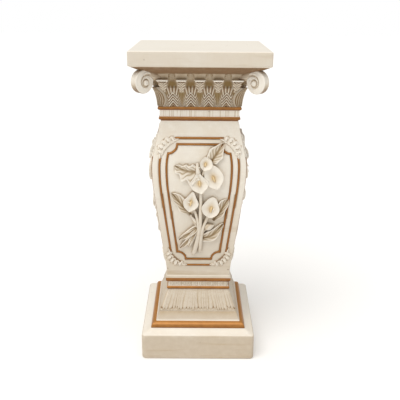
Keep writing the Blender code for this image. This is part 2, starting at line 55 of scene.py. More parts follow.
Surface = tuple[Array, Coats]
Form = tuple[Array, Array, Coats]
# A rule takes two arrays of shares, from 0 to 1, and gives the points there and their coats
Rule = Callable[[Array, Array], Surface]


class Coat(Enum):
    """Paint masks that every piece carries as point attributes, painted shade and painted highlights among
    them.
    """

    # Brown antique glaze in the hollows together with painted shade in crevices, under overhangs and round
    # the relief
    WASH = "wash"
    # Olive tint of the paint, deepened in hollows and folds as painted shade
    MOSS = "moss"
    GILT = "gilt"
    BLOOM = "bloom"
    STREAK = "streak"
    # Painted highlights on rims, crests and raised edges
    PALE = "pale"


class Side(Enum):
    """Faces of the pedestal, as quarter turns from the front."""

    FRONT = 0
    RIGHT = 1
    BACK = 2
    LEFT = 3


def unit(value: Array) -> Array:
    """Value kept between 0 and 1."""
    return np.clip(value, 0.0, 1.0)


def hump(offset: Array, spread: float) -> Array:
    """Bell curve, 1 where the offset is nothing."""
    return np.exp(-(offset / spread) ** 2)


def smooth_step(low: float, high: float, value: Array) -> Array:
    """Ease from 0 at low to 1 at high."""
    share = unit((value - low) / (high - low))
    return share * share * (3 - 2 * share)


def ridge(phase: Array, sharpness: float = 1.0) -> Array:
    """Row of ridges, 1 at whole numbers and 0 half-way between."""
    return (0.5 + 0.5 * np.cos(2 * np.pi * phase)) ** sharpness


def chance(index: Array, seed: float = 0.0) -> Array:
    """Fixed pseudo-random share for each whole number."""
    return np.abs(np.sin(index * 12.9898 + seed * 78.233) * 43758.5453) % 1.0


def curve_through(points: Sequence[Sequence[float]], share: Array, closed: bool = False) -> Array:
    """Smooth curve through points.

    Args:
        points: Two or more points of any dimension.
        share: Places along the curve, from 0 to 1.
        closed: Whether the last point runs on into the first.

    Returns:
        One point for each share.
    """
    knots = np.array(points, float)
    count = len(knots)
    spans = count if closed else count - 1
    along = unit(share) * spans
    start = np.minimum(np.floor(along).astype(int), spans - 1)
    t = (along - start)[:, None]

    def knot(step: int) -> Array:
        """Knots a step after the start of each span."""
        index = start + step
        return knots[index % count] if closed else knots[np.clip(index, 0, count - 1)]

    before, here, after, beyond = knot(-1), knot(0), knot(1), knot(2)
    return 0.5 * (2 * here + (after - before) * t
                  + (2 * before - 5 * here + 4 * after - beyond) * t ** 2
                  + (3 * here - before - 3 * after + beyond) * t ** 3)


def beside(ahead: Array) -> Array:
    """Unit directions to the left of directions in the face."""
    across = np.stack([-ahead[:, 1], ahead[:, 0]], axis=1)
    return across / np.maximum(np.linalg.norm(across, axis=1), 1e-9)[:, None]


def follow(points: Sequence[Sequence[float]], share: Array) -> tuple[Array, Array]:
    """Walk along a smooth curve in the face.

    Args:
        points: Points of the curve, across and up first.
        share: Places along it, from 0 to 1.

    Returns:
        The points there, and the unit directions to their left.
    """
    step = curve_through(points, unit(share + 0.01)) - curve_through(points, unit(share - 0.01))
    return curve_through(points, share), beside(step)


def axis_between(foot: Sequence[float], tip: Sequence[float]) -> tuple[Array, Array, Array]:
    """Start, whole step and unit direction to the left of a line in the face."""
    start, along = np.array(foot), np.array(tip) - np.array(foot)
    return start, along, np.array([-along[1], along[0]]) / np.linalg.norm(along)


def sunk_rim(side: Array, share: Array) -> Array:
    """Where a sheet is outside its blade and goes down into the casting."""
    return (np.abs(side) > 1.02) | (share < 0.01) | (share > 0.99)


def on_diagonal(off: Array, out: Array, up: Array) -> Array:
    """Points in metres of millimetres off a corner's diagonal, out along it and up."""
    return np.stack([off, -out, up], axis=1) * MM


@dataclass(frozen=True)
class Outline:
    """Heights and sides of the casting's mouldings, as in the solid."""

    plinth_height: float = 0.069
    ledge_rise: float = 0.008
    base_bead_height: float = 0.013
    step_height: float = 0.022
    skirt_height: float = 0.054
    foot_bead_height: float = 0.008
    foot_band_height: float = 0.013
    torus_height: float = 0.018
    body_height: float = 0.398
    neck_bead_height: float = 0.0075
    neck_band_height: float = 0.0155
    capital_bead_height: float = 0.008
    bell_height: float = 0.076
    soffit_height: float = 0.018
    plate_height: float = 0.032
    plinth_side: float = 0.282
    base_bead_side: float = 0.2368
    step_side: float = 0.213
    skirt_foot_side: float = 0.191
    skirt_top_side: float = 0.152
    foot_bead_side: float = 0.159
    foot_band_side: float = 0.153
    torus_side: float = 0.164
    body_foot_side: float = 0.157
    shoulder_side: float = 0.2172
    neck_side: float = 0.176
    neck_bead_side: float = 0.1852
    neck_band_side: float = 0.1815
    capital_bead_side: float = 0.1896
    bell_foot_side: float = 0.183
    bell_top_side: float = 0.224
    plate_side: float = 0.306
    shoulder_height: float = 0.287
    foot_turn: float = 0.044
    foot_slope_share: float = 0.3
    turn_below: float = 0.062
    turn_above: float = 0.033
    bell_flare: float = 1.6

    @property
    def base_bead(self) -> float:
        """Foot of the base bead."""
        return self.plinth_height + self.ledge_rise

    @property
    def step(self) -> float:
        """Foot of the plain step."""
        return self.base_bead + self.base_bead_height

    @property
    def skirt(self) -> float:
        """Foot of the leafy skirt."""
        return self.step + self.step_height

    @property
    def foot_bead(self) -> float:
        """Foot of the bead over the skirt."""
        return self.skirt + self.skirt_height

    @property
    def torus(self) -> float:
        """Foot of the torus under the body."""
        return self.foot_bead + self.foot_bead_height + self.foot_band_height

    @property
    def body(self) -> float:
        """Foot of the swelling body."""
        return self.torus + self.torus_height

    @property
    def neck(self) -> float:
        """Top of the swelling body."""
        return self.body + self.body_height

    @property
    def capital_bead(self) -> float:
        """Foot of the bead under the capital."""
        return self.neck + self.neck_bead_height + self.neck_band_height

    @property
    def bell(self) -> float:
        """Foot of the capital's bell."""
        return self.capital_bead + self.capital_bead_height

    @property
    def soffit(self) -> float:
        """Foot of the slope under the plate."""
        return self.bell + self.bell_height

    @property
    def plate(self) -> float:
        """Underside of the plate."""
        return self.soffit + self.soffit_height

    def body_half(self, z: Array) -> Array:
        """Swell of the body.

        Args:
            z: Heights in metres.

        Returns:
            Half-widths there.
        """
        foot, shoulder, neck = self.body_foot_side / 2, self.shoulder_side / 2, self.neck_side / 2
        rise = np.clip(z - self.body, 0.0, self.shoulder_height)
        fall = np.clip(z - self.body - self.shoulder_height, 0.0, self.body_height - self.shoulder_height)
        below = foot + (shoulder - foot) * self._taper(rise) / self._taper(np.array(self.shoulder_height))
        full_fall = self._fall(np.array(self.body_height - self.shoulder_height))
        return below - (shoulder - neck) * self._fall(fall) / full_fall

    def _taper(self, rise: Array) -> Array:
        """Width gained below the shoulder, for a slope of one on the straight stretch.

        Args:
            rise: Heights over the body's foot.

        Returns:
            The width gained up to there.
        """
        eased = np.minimum(rise, self.foot_turn)
        steep = 1 - self.foot_slope_share
        gained = self.foot_slope_share * eased + steep * eased ** 2 / (2 * self.foot_turn)
        straight_end = self.shoulder_height - self.turn_below
        gained = gained + np.clip(rise - self.foot_turn, 0.0, straight_end - self.foot_turn)
        turned = np.maximum(rise - straight_end, 0.0)
        return gained + turned - turned ** 2 / (2 * self.turn_below)

    def _fall(self, rise: Array) -> Array:
        """Width lost above the shoulder, for a slope of one on the straight stretch."""
        turned = np.minimum(rise, self.turn_above)
        return turned ** 2 / (2 * self.turn_above) + np.maximum(rise - self.turn_above, 0.0)

    def bell_half(self, z: Array) -> Array:
        """Flare of the capital's bell.

        Args:
            z: Heights in metres.

        Returns:
            Half-widths there.
        """
        share = unit((z - self.bell) / self.bell_height)
        gain = self.bell_top_side - self.bell_foot_side
        return (self.bell_foot_side + gain * share ** self.bell_flare) / 2

    def on_body(self, spot: Array, out: Array) -> Array:
        """Points in metres of a relief on the body's front face.

        Args:
            spot: Places across and up, in millimetres.
            out: How far they stand out from the face, in millimetres.

        Returns:
            One point for each place.
        """
        across, z = spot[:, 0] * MM, spot[:, 1] * MM
        return np.stack([across, -self.body_half(z) - out * MM, z], axis=1)


def blank_mesh() -> Mesh:
    """Start a bmesh.

    Returns:
        The empty bmesh, with an attribute for each coat.
    """
    bm = bmesh.new()
    for coat in Coat:
        bm.verts.layers.float.new(coat.value)
    return bm


def paint(bm: Mesh, coats: Coats) -> None:
    """Write coats to the vertices of a bmesh.

    Args:
        bm: The bmesh.
        coats: Values for its vertices, in their order.
    """
    for coat, values in coats.items():
        layer = bm.verts.layers.float[coat.value]
        for vert, value in zip(bm.verts, values):
            vert[layer] = float(value)


def warp_sheet(columns: int, rows: int, rule: Rule) -> Mesh:
    """Carry a flat grid onto a surface.

    Args:
        columns: Faces along the first share.
        rows: Faces along the second share.
        rule: Gives the points and coats for two arrays of shares.

    Returns:
        The open sheet.
    """
    bm = blank_mesh()
    bmesh.ops.create_grid(bm, x_segments=columns, y_segments=rows, size=0.5)
    flat = np.array([vert.co[:2] for vert in bm.verts]) + 0.5
    points, coats = rule(flat[:, 0], flat[:, 1])
    for vert, point in zip(bm.verts, points):
        vert.co = point
    paint(bm, coats)
    return bm


def close_up(bm: Mesh, merge: float = 1e-6) -> Mesh:
    """Merge seams and poles, cap what is left open and turn the faces outwards.

    Args:
        bm: The bmesh to close.
        merge: Distance under which vertices become one, in metres.

    Returns:
        The same bmesh.
    """
    bmesh.ops.remove_doubles(bm, verts=bm.verts, dist=merge)
    bmesh.ops.dissolve_degenerate(bm, edges=bm.edges, dist=merge)
    border = [edge for edge in bm.edges if edge.is_boundary]
    if border:
        bmesh.ops.holes_fill(bm, edges=border, sides=0)
    bmesh.ops.recalc_face_normals(bm, faces=bm.faces)
    return bm


def ribbon(path: Array, section: Array, outline: Outline, closed: bool = False) -> Mesh:
    """Bead along a path on the body's front face, mitred at its corners.

    Args:
        path: Points across and up, in millimetres.
        section: Offsets across the bead and out from the face, in millimetres.
        outline: The casting that the bead lies on.
        closed: Whether the path returns to its start.

    Returns:
        A closed bmesh, gilded all over, with painted shade towards the roots of its sides.
    """
    before = np.roll(path, 1, axis=0)
    after = np.roll(path, -1, axis=0)
    if not closed:
        before[0] = 2 * path[0] - path[1]
        after[-1] = 2 * path[-1] - path[-2]
    arrive = (path - before) / np.linalg.norm(path - before, axis=1)[:, None]
    leave = (after - path) / np.linalg.norm(after - path, axis=1)[:, None]
    across = beside(arrive + leave)
    across /= np.maximum((across * beside(arrive)).sum(1), 0.5)[:, None]
    bm = blank_mesh()
    loops = []
    for point, side in zip(path, across):
        spots = point + section[:, :1] * side
        ring = [bm.verts.new(co) for co in outline.on_body(spots, section[:, 1])]
        loops.append([bm.edges.new(pair) for pair in zip(ring, ring[1:] + ring[:1])])
    for low, high in zip(loops, loops[1:]):
        bmesh.ops.bridge_loops(bm, edges=low + high)
    if closed:
        bmesh.ops.bridge_loops(bm, edges=loops[-1] + loops[0])
    # Painted shade darkens the bead towards its roots, where it meets the face
    edge = np.abs(section[:, 0]) / np.abs(section[:, 0]).max()
    paint(bm, {Coat.GILT: np.ones(len(bm.verts)), Coat.WASH: np.tile(edge ** 2, len(path))})
    return close_up(bm)


def joined(parts: Sequence[Mesh]) -> Mesh:
    """Put several bmeshes into one.

    Args:
        parts: The bmeshes, which are freed.

    Returns:
        The one that holds them all.
    """
    whole = blank_mesh()
    for part in parts:
        mesh = bpy.data.meshes.new("part")
        part.to_mesh(mesh)
        part.free()
        whole.from_mesh(mesh)
        bpy.data.meshes.remove(mesh)
    return whole


def turned(bm: Mesh, degrees: float) -> Mesh:
    """Turn a bmesh about the pedestal's axis.

    Args:
        bm: The bmesh, which stays as it is.
        degrees: The turn, anticlockwise from above.

    Returns:
        The turned copy.
    """
    copy = bm.copy()
    turn = Matrix.Rotation(math.radians(degrees), 3, "Z")
    bmesh.ops.rotate(copy, verts=copy.verts, cent=(0, 0, 0), matrix=turn)
    return copy


def all_round(bm: Mesh, start: float = 0.0) -> Mesh:
    """Repeat a bmesh on the four sides.

    Args:
        bm: The bmesh for one side, which is freed.
        start: Turn of the first copy, in degrees.

    Returns:
        The four copies as one bmesh.
    """
    whole = joined([turned(bm, start + 90 * side.value) for side in Side])
    bm.free()
    return whole


@dataclass(frozen=True)
class Station:
    """One level of a square moulding."""

    half: float
    z: float
    corner: float
    gilt: float = 0.0
    # Brown antique glaze and painted shade of this level
    wash: float = 0.0
    streak: float = 0.0


@dataclass(frozen=True)
class SquareLoft:
    """Closed square moulding with rounded corners, lofted through stations."""

    side_steps: int = 40
    corner_steps: int = 5

    @property
    def steps(self) -> int:
        """Steps along one side and its corner."""
        return self.side_steps + self.corner_steps

    def plan(self, half: Array, corner: Array, share: Array) -> tuple[Array, Array, Array, Array]:
        """Place and outward direction round a rounded square.

        Args:
            half: Half-widths of the square.
            corner: Corner radii.
            share: Places round the square from 0 to 1, evenly spread over its steps.

        Returns:
            x and y of the places, and x and y of their outward directions.
        """
        place = (share * 4 * self.steps) % (4 * self.steps)
        quarter = np.floor(place / self.steps + 1e-9)
        step = place - quarter * self.steps
        on_side = unit(step / self.side_steps)
        on_arc = unit((step - self.side_steps) / self.corner_steps) * np.pi / 2
        flat = half - corner
        x = -flat + 2 * flat * on_side + corner * np.sin(on_arc)
        y = -half + corner * (1 - np.cos(on_arc))
        out_x, out_y = np.sin(on_arc), -np.cos(on_arc)
        turn = quarter * np.pi / 2
        cos, sin = np.cos(turn), np.sin(turn)
        return (cos * x - sin * y, sin * x + cos * y,
                cos * out_x - sin * out_y, sin * out_x + cos * out_y)

    def build(self, stations: Sequence[Station], relief: Rule | None = None) -> Mesh:
        """Loft the moulding.

        Args:
            stations: Levels from the bottom up, at least two.
            relief: Gives out, in millimetres, and coats for the share round and the height in metres.

        Returns:
            The closed bmesh.
        """
        table = np.array([(s.half, s.z, s.corner, s.gilt, s.wash, s.streak) for s in stations])

        def rule(share: Array, rise: Array) -> Surface:
            """Square plan at each station, moved out by the relief."""
            row = np.round(rise * (len(table) - 1)).astype(int)
            half, z, corner, gilt, wash, streak = table[row].T
            x, y, out_x, out_y = self.plan(half, corner, share)
            coats = {Coat.GILT: gilt, Coat.WASH: wash, Coat.STREAK: streak}
            if relief:
                out, extra = relief(share, z)
                x, y = x + out_x * out * MM, y + out_y * out * MM
                coats.update(extra)
            return np.stack([x, y, z], axis=1), coats

        return close_up(warp_sheet(4 * self.steps, len(table) - 1, rule))


def bead_stations(low: Station, bulge: float, high: Station, gilt: Sequence[float],
                  steps: int = 10) -> list[Station]:
    """Stations of a half-round bead.

    Args:
        low: Where the bead starts.
        bulge: Its greatest half-width.
        high: Where it ends.
        gilt: Shares of its height between which it is gilded.
        steps: Levels over the half circle.

    Returns:
        The stations from low to high.
    """
    stations = []
    for step in range(steps + 1):
        angle = math.radians(-90 + 180 * step / steps)
        share = (1 + math.sin(angle)) / 2
        root = low.half + (high.half - low.half) * share
        half = root + (bulge - root) * math.cos(angle)
        gold = 1.0 if gilt[0] <= share <= gilt[1] else 0.0
        stations.append(Station(half, low.z + (high.z - low.z) * share, low.corner, gold))
    return stations


def slab_stations(half: float, foot: float, top: float, corner: float, edge: float, edge_steps: int,
                  rows: int) -> list[Station]:
    """Stations of an upright slab with rolled edges.

    Args:
        half: Its half-width.
        foot: Height of its underside.
        top: Height of its top.
        corner: Plan radius of its corners.
        edge: Radius of its rolled edges.
        edge_steps: Levels over each edge.
        rows: Faces up its side between the edges.

    Returns:
        The stations from its underside to its top.
    """
    turns = [math.radians(90 * step / edge_steps) for step in range(edge_steps + 1)]
    sines = [(1 - math.sin(turn), 1 - math.cos(turn)) for turn in turns]
    side = top - foot - 2 * edge
    low = [Station(half - edge * inward, foot + edge * upward, corner) for inward, upward in sines]
    walls = [Station(half, foot + edge + side * step / rows, corner) for step in range(1, rows)]
    high = [Station(half - edge * inward, top - edge * downward, corner) for downward, inward in sines]
    return low + walls + high


@dataclass
class Assembly:
    """Pieces of the casting that are built together."""

    outline: Outline

    def build(self) -> dict[str, Mesh]:
        """Make the pieces.

        Returns:
            Their closed bmeshes, by name.
        """
        raise NotImplementedError


@dataclass
class Base(Assembly):
    """Plinth with rolled edges, its sloping ledge, the gold base bead and the plain step."""

    corner: float = 0.0085
    edge: float = 0.006
    edge_steps: int = 6
    moulding_corner: float = 0.0016

    def build(self) -> dict[str, Mesh]:
        """Make the base."""
        size = self.outline
        half = size.plinth_side / 2
        stations = slab_stations(half, 0.0, size.plinth_height, self.corner, self.edge, self.edge_steps, 8)
        bead_half, step_half = size.base_bead_side / 2, size.step_side / 2
        for share in (0.33, 0.66, 0.94):
            stations.append(Station(half - self.edge + (bead_half - half + self.edge) * share,
                                    size.plinth_height + size.ledge_rise * share, self.corner * 0.6))
        stations.append(Station(bead_half - 0.0006, size.base_bead - 0.0004, self.moulding_corner))
        for step in range(9):
            angle = math.radians(90 * step / 8)
            stations.append(Station(step_half + (bead_half - step_half) * math.cos(angle),
                                    size.base_bead + size.base_bead_height * math.sin(angle),
                                    self.moulding_corner, 1.0))
        stations.append(Station(step_half - 0.0012, size.step + 0.0002, self.moulding_corner))
        skirt_half = size.skirt_foot_side / 2
        # The step is painted darker towards the skirt's foot
        for share in (0.3, 0.6, 0.9, 1.0):
            stations.append(Station(step_half - 0.0012 + (skirt_half + 0.002 - step_half) * share,
                                    size.step + size.step_height * share, self.moulding_corner,
                                    wash=0.10 + 0.40 * share ** 2))
        stations.append(Station(skirt_half - 0.008, size.skirt + 0.001, self.moulding_corner))
        return {"base": SquareLoft().build(stations)}


@dataclass
class Skirt(Assembly):
    """Sloping skirt of narrow upright blades with ragged tips, in two tiers."""

    blades: int = 24
    reach: float = 3.3
    rows: int = 64
    corner: float = 0.002
    streak: float = 0.3
    loft: SquareLoft = SquareLoft(side_steps=168, corner_steps=4)

    def build(self) -> dict[str, Mesh]:
        """Make the skirt."""
        size = self.outline
        low, high = size.skirt_foot_side / 2, size.skirt_top_side / 2
        stations = [Station(low + (high - low) * share, size.skirt + size.skirt_height * share, self.corner,
                            streak=self.streak) for share in np.linspace(0.0, 1.0, self.rows + 1)]
        return {"leaf_skirt": self.loft.build(stations, self._relief)}

    def _relief(self, share: Array, z: Array) -> Surface:
        """Blades whose tips hang over a second tier.

        Args:
            share: Places round the skirt.
            z: Their heights in metres.

        Returns:
            How far they stand out, in millimetres, and their coats.
        """
        place = (share * 4 * self.loft.steps) % self.loft.steps
        along = unit(place / self.loft.side_steps)
        face = np.floor(share * 4)
        up = (z - self.outline.skirt) / self.outline.skirt_height
        blade = np.where(place > self.loft.side_steps, 0.0, along * self.blades)
        sway = 0.30 * np.sin(blade * 1.3 + face) + 0.14 * np.sin(up * 5 + blade * 0.9)
        blade = blade + sway * np.sin(np.pi * along) ** 0.4
        index = np.floor(blade) + 31 * face
        across = np.abs(blade - np.floor(blade) - 0.5)
        second = np.abs((blade + 0.5) % 1.0 - 0.5)
        tip = 0.05 + 0.12 * chance(index, 1.0) + 0.18 * across
        under = 0.01 + 0.04 * chance(np.floor(blade + 0.5), 3.0) + 0.10 * second
        edge = smooth_step(-0.016, 0.012, up - tip)
        edge_under = smooth_step(-0.012, 0.012, up - under)
        fade = smooth_step(1.0, 0.70, up)
        groove = ridge(blade, 6.0) * (0.4 + 0.6 * smooth_step(1.0, 0.4, up))
        groove = groove * (0.4 + 0.6 * chance(np.round(blade), 7.0))
        fine = ridge(blade * 3 + 0.6 * chance(index, 2.0), 1.5)
        out = self.reach * (0.25 + 0.75 * fade) * (0.45 * edge_under + 0.55 * edge)
        out = out - edge * (1.3 * groove + 0.45 * fine) * (0.3 + 0.7 * fade)
        out = out - edge_under * (1 - edge) * 0.5 * fine
        # Painted shadow: dark spots and a dark band just under the blade tips, and shade on the lower tier
        # under the upper one
        tip_shadow_dots = ridge(blade, 5.0) * hump(up - tip + 0.02, 0.04)
        shade = hump(up - tip + 0.03, 0.025)
        # The grooves between the blades are darkened with brown glaze and painted shade
        wash = (0.50 * groove + 0.12 * fine + 0.16 * chance(index, 5.0) ** 2) * edge
        wash = wash + 0.75 * tip_shadow_dots + 0.16 * (edge_under - edge) + 0.22 * shade
        return out, {Coat.WASH: unit(wash)}


@dataclass
class Shaft(Assembly):
    """Foot bead, hollow band, torus, swelling body, neck bead and neck band."""

    corner: float = 0.0016
    band_hollow: float = 0.0022
    body_rows: int = 96
    loft: SquareLoft = SquareLoft(side_steps=46)

    def build(self) -> dict[str, Mesh]:
        """Make the shaft."""
        size, corner = self.outline, self.corner
        foot_band, neck_band = size.torus - size.foot_band_height, size.capital_bead - size.neck_band_height
        skirt_half, band_half = size.skirt_top_side / 2, size.foot_band_side / 2
        stations = [Station(skirt_half - 0.004, size.foot_bead - 0.002, corner)]
        stations += bead_stations(Station(skirt_half, size.foot_bead, corner), size.foot_bead_side / 2,
                                  Station(band_half, foot_band, corner), (0.02, 0.99))
        for share in (0.06, 0.2, 0.4, 0.6, 0.8, 0.94):
            half = band_half - self.band_hollow * math.sin(math.pi * share)
            z = foot_band + size.foot_band_height * share
            stations.append(Station(half, z, corner, wash=0.06, streak=1.0))
        stations += bead_stations(Station(band_half, size.torus, corner), size.torus_side / 2,
                                  Station(size.body_foot_side / 2, size.body, corner), (0.0, 0.63), 14)
        levels = np.linspace(size.body, size.neck, self.body_rows + 1)[1:-1]
        halves = size.body_half(levels)
        stations += [Station(float(half), float(z), corner) for half, z in zip(halves, levels)]
        neck_half = size.neck_band_side / 2
        stations += bead_stations(Station(size.neck_side / 2, size.neck, corner), size.neck_bead_side / 2,
                                  Station(neck_half, neck_band, corner), (0.0, 1.0))
        for share in (0.05, 0.3, 0.6, 0.95):
            z = neck_band + size.neck_band_height * share
            stations.append(Station(neck_half - 0.0004, z, corner, wash=0.05, streak=1.0))
        stations += bead_stations(Station(neck_half, size.capital_bead, corner), size.capital_bead_side / 2,
                                  Station(size.bell_foot_side / 2, size.bell, corner), (0.0, 1.0))
        stations.append(Station(size.bell_foot_side / 2 - 0.004, size.bell + 0.001, corner))
        return {"shaft": self.loft.build(stations)}


@dataclass(frozen=True)
class Carving:
    """One part of the capital's pattern: how far out it stands, where it is, and its coats."""

    out: Array
    cover: Array
    wash: Array
    moss: Array | float = 0.0
    # Painted highlight on the carving's crests
    crest: Array | float = 0.0
    # Painted shade round a rim
    rim: Array | float = 0.0


@dataclass
class Bell(Assembly):
    """Capital's bell: herringbone lower leaves, fan leaves with thick lips and stalks under the soffit."""

    pitch: float = 39.4
    spread: float = 0.045
    corner_foot: float = 0.008
    corner_top: float = 0.021
    rows: int = 92
    loft: SquareLoft = SquareLoft(side_steps=132, corner_steps=22)
    leaf_height: float = 44.0
    leaf_half: float = 15.0
    stack_top: float = 36.0
    chevron_pitch: float = 6.6
    ray_turn: float = 0.15
    stripe_pitch: float = 3.6
    hollow_foot: float = 5.0
    hollow_height: float = 27.0
    fan_foot: float = 33.0
    fan_height: float = 28.0
    lip_foot: float = 57.9
    wall_foot: float = 44.0
    arch_foot: float = 71.0
    arch_height: float = 6.0

    def build(self) -> dict[str, Mesh]:
        """Make the bell and its corner leaves."""
        size = self.outline
        levels = np.linspace(size.bell, size.soffit, self.rows + 1)
        stations = [Station(float(size.bell_half(z)), float(z), self._corner(float(z))) for z in levels]
        return {"capital_bell": self.loft.build(stations, self._relief),
                "corner_leaves": all_round(self._corner_leaf(), 45)}

    def _corner(self, z: float) -> float:
        """Plan radius of the bell's corners at a height."""
        share = min(max((z - self.outline.bell) / self.outline.bell_height, 0.0), 1.0)
        return self.corner_foot + (self.corner_top - self.corner_foot) * min(share * 2.5, 1.0)

    def _corner_leaf(self) -> Mesh:
        """Make a ribbed leaf on the bell's corner, bent out under the scroll.

        Returns:
            The closed bmesh, with that corner towards the front.
        """
        def rule(share: Array, side_share: Array) -> Surface:
            """Surface that wraps the corner, with its edges carried into the bell."""
            along = unit((share - 0.03) / 0.94)
            side = (side_share * 2 - 1) / 0.92
            blade = np.clip(side, -1.0, 1.0)
            z = self.outline.bell + (0.5 + self.leaf_height * along) * MM
            corner = np.array([self._corner(float(level)) for level in z]) / MM
            base = (self.outline.bell_half(z) / MM - corner) * math.sqrt(2) + corner
            width = self.leaf_half * np.sin(np.pi * (0.16 + 0.76 * along)) ** 0.7
            off = blade * width
            ribs = ridge(blade * 3.5 + 0.5)
            lift = 3.5 + 9.0 * along ** 1.2 + 1.5 * (ribs - 0.5) - 0.9 * (np.hypot(off, 8.0) - 8.0)
            wall = sunk_rim(side, share)
            out = base + np.where(wall, -14.0, lift)
            # Painted shade between the ribs, towards the leaf's foot and on its buried edge, with painted
            # highlights along the ribs
            wash = np.where(wall, 0.8, 0.42 + 0.50 * (1 - ribs) + 0.20 * (1 - along))
            coats = {Coat.WASH: unit(wash), Coat.MOSS: np.where(wall, 0.2, 0.45),
                     Coat.PALE: np.where(wall, 0.0, 0.42 * ribs ** 6)}
            return on_diagonal(off, out, z / MM), coats

        return close_up(warp_sheet(40, 44, rule))

    def _pattern(self, share: Array, z: Array) -> tuple[Array, Array]:
        """Find the places in the pattern.

        Args:
            share: Places round the bell.
            z: Their heights in metres.

        Returns:
            Leaf spacings from the middle of a face, and heights over the bell's foot in millimetres.
        """
        side, turn = self.loft.side_steps, self.loft.corner_steps
        place = (share * 4 * self.loft.steps + turn / 2) % self.loft.steps - turn / 2
        half = self.outline.bell_half(z) / MM
        corner = np.array([self._corner(float(level)) for level in z]) / MM
        flat = half - corner
        to_middle = np.clip(place, 0, side) / side * 2 - 1
        beyond = np.where(place < 0, place, np.maximum(place - side, 0.0))
        run = to_middle * flat + beyond / turn * corner * np.pi / 2
        rise = (z - self.outline.bell) / MM
        return run / (self.pitch * (1 + self.spread * rise / (self.outline.bell_height / MM))), rise

    def _relief(self, share: Array, z: Array) -> Surface:
        """Chevron columns and ribs over hollows tinted olive and darkened as painted shade, fan leaves
        between them and stalks on top.

        Args:
            share: Places round the bell.
            z: Their heights in metres.

        Returns:
            How far they stand out, in millimetres, and their coats.
        """
        place, rise = self._pattern(share, z)
        fan = (place - np.round(place)) * self.pitch
        column = (place - np.floor(place) - 0.5) * self.pitch
        between = smooth_step(40.0, 49.0, rise) * smooth_step(65.0, 52.0, rise)
        between = between * smooth_step(13.0, 4.0, np.abs(column))
        wall = smooth_step(self.wall_foot, self.wall_foot + 6.0, rise)
        foot, leaf = self._foot(rise, fan, np.abs(column), wall), self._fan(rise, fan)
        stalk = self._stalk(rise, column, between)
        ground = -2.4 * between * (1 - stalk.cover * 0.6)
        foot_out = np.where(rise < 48.0, foot.out, -9.0)
        out = np.maximum.reduce([foot_out, leaf.out, stalk.out - 2.2 * between, ground])
        is_leaf = (leaf.out > foot.out) & (leaf.cover > 0.3)
        # Painted shade on the plain wall behind the fans and deeper in the gaps between them, with the
        # olive tint there
        wash = foot.wash + wall * (0.36 + 0.60 * between - foot.wash)
        wash = np.where(stalk.cover > 0.3, stalk.wash, wash + stalk.rim)
        moss = foot.moss + 0.12 * wall + 0.30 * between
        return out, {Coat.WASH: unit(np.where(is_leaf, leaf.wash, wash)),
                     Coat.MOSS: unit(np.where(is_leaf, leaf.moss, moss)),
                     Coat.PALE: unit(np.where(is_leaf, leaf.crest, foot.crest))}

    def _foot(self, rise: Array, fan: Array, away: Array, wall: Array) -> Carving:
        """Nested chevrons, ribs that spread from them, and the hollows under the fans.

        Args:
            rise: Heights over the bell's foot, in millimetres.
            fan: Places beside the nearest fan.
            away: Distances from the nearest column.
            wall: Where the plain wall over the ribs has started.

        Returns:
            The carving.
        """
        peak = rise + 1.25 * away
        in_stack = smooth_step(self.stack_top, self.stack_top - 2.0, peak) * smooth_step(10.5, 9.0, away)
        chevron = ridge((peak - 32.5) / self.chevron_pitch)
        core = smooth_step(11.0, 6.0, peak)
        stack = in_stack * (3.2 + 2.8 * (chevron - 0.5) - 1.8 * core)
        # Ribs that arch over the hollows
        ray = ridge(np.arctan2(away, rise + 5.0) / self.ray_turn + 0.5)
        on_ribs = smooth_step(48.0, 42.0, rise) * (1 - in_stack)
        bulge = smooth_step(24.0, 40.0, rise) * smooth_step(11.0, 2.0, away)
        ribs = on_ribs * (1.7 + 2.2 * (ray - 0.5) + 2.0 * bulge)
        # Hollow, wide at its top and pointed at its foot
        open_half = 1.2 + 7.4 * unit((rise - self.hollow_foot) / self.hollow_height)
        hollow = smooth_step(open_half + 2.8, open_half - 2.8, np.abs(fan)) * smooth_step(40.0, 28.0, rise)
        hollow = hollow * smooth_step(1.0, 7.0, rise)
        stripe = ridge(fan / self.stripe_pitch)
        out = np.maximum(stack, ribs) * (1 - hollow) + hollow * (-0.9 + 1.6 * (stripe - 0.5))
        # Painted shade between the ribs, in the chevrons' troughs and cores and in the hollows, painted
        # highlights on their crests
        wash = 0.24 + 0.66 * (1 - ray) ** 1.3 + 0.22 * smooth_step(30.0, 44.0, rise)
        wash = wash + in_stack * (0.10 + 0.90 * (1 - chevron) ** 1.2 + 0.45 * core - wash)
        wash = wash + hollow * (0.50 + 0.50 * (1 - stripe) - wash)
        moss = 0.28 + 0.42 * hollow * (0.5 + 0.5 * smooth_step(8.0, 26.0, rise))
        stack_crest = 0.6 * in_stack * chevron ** 4 * (1 - core)
        rib_crest = 0.4 * ray ** 4 * (1 - in_stack) * (1 - hollow) * (1 - wall)
        return Carving(out, on_ribs, wash, moss, np.maximum(stack_crest, rib_crest))

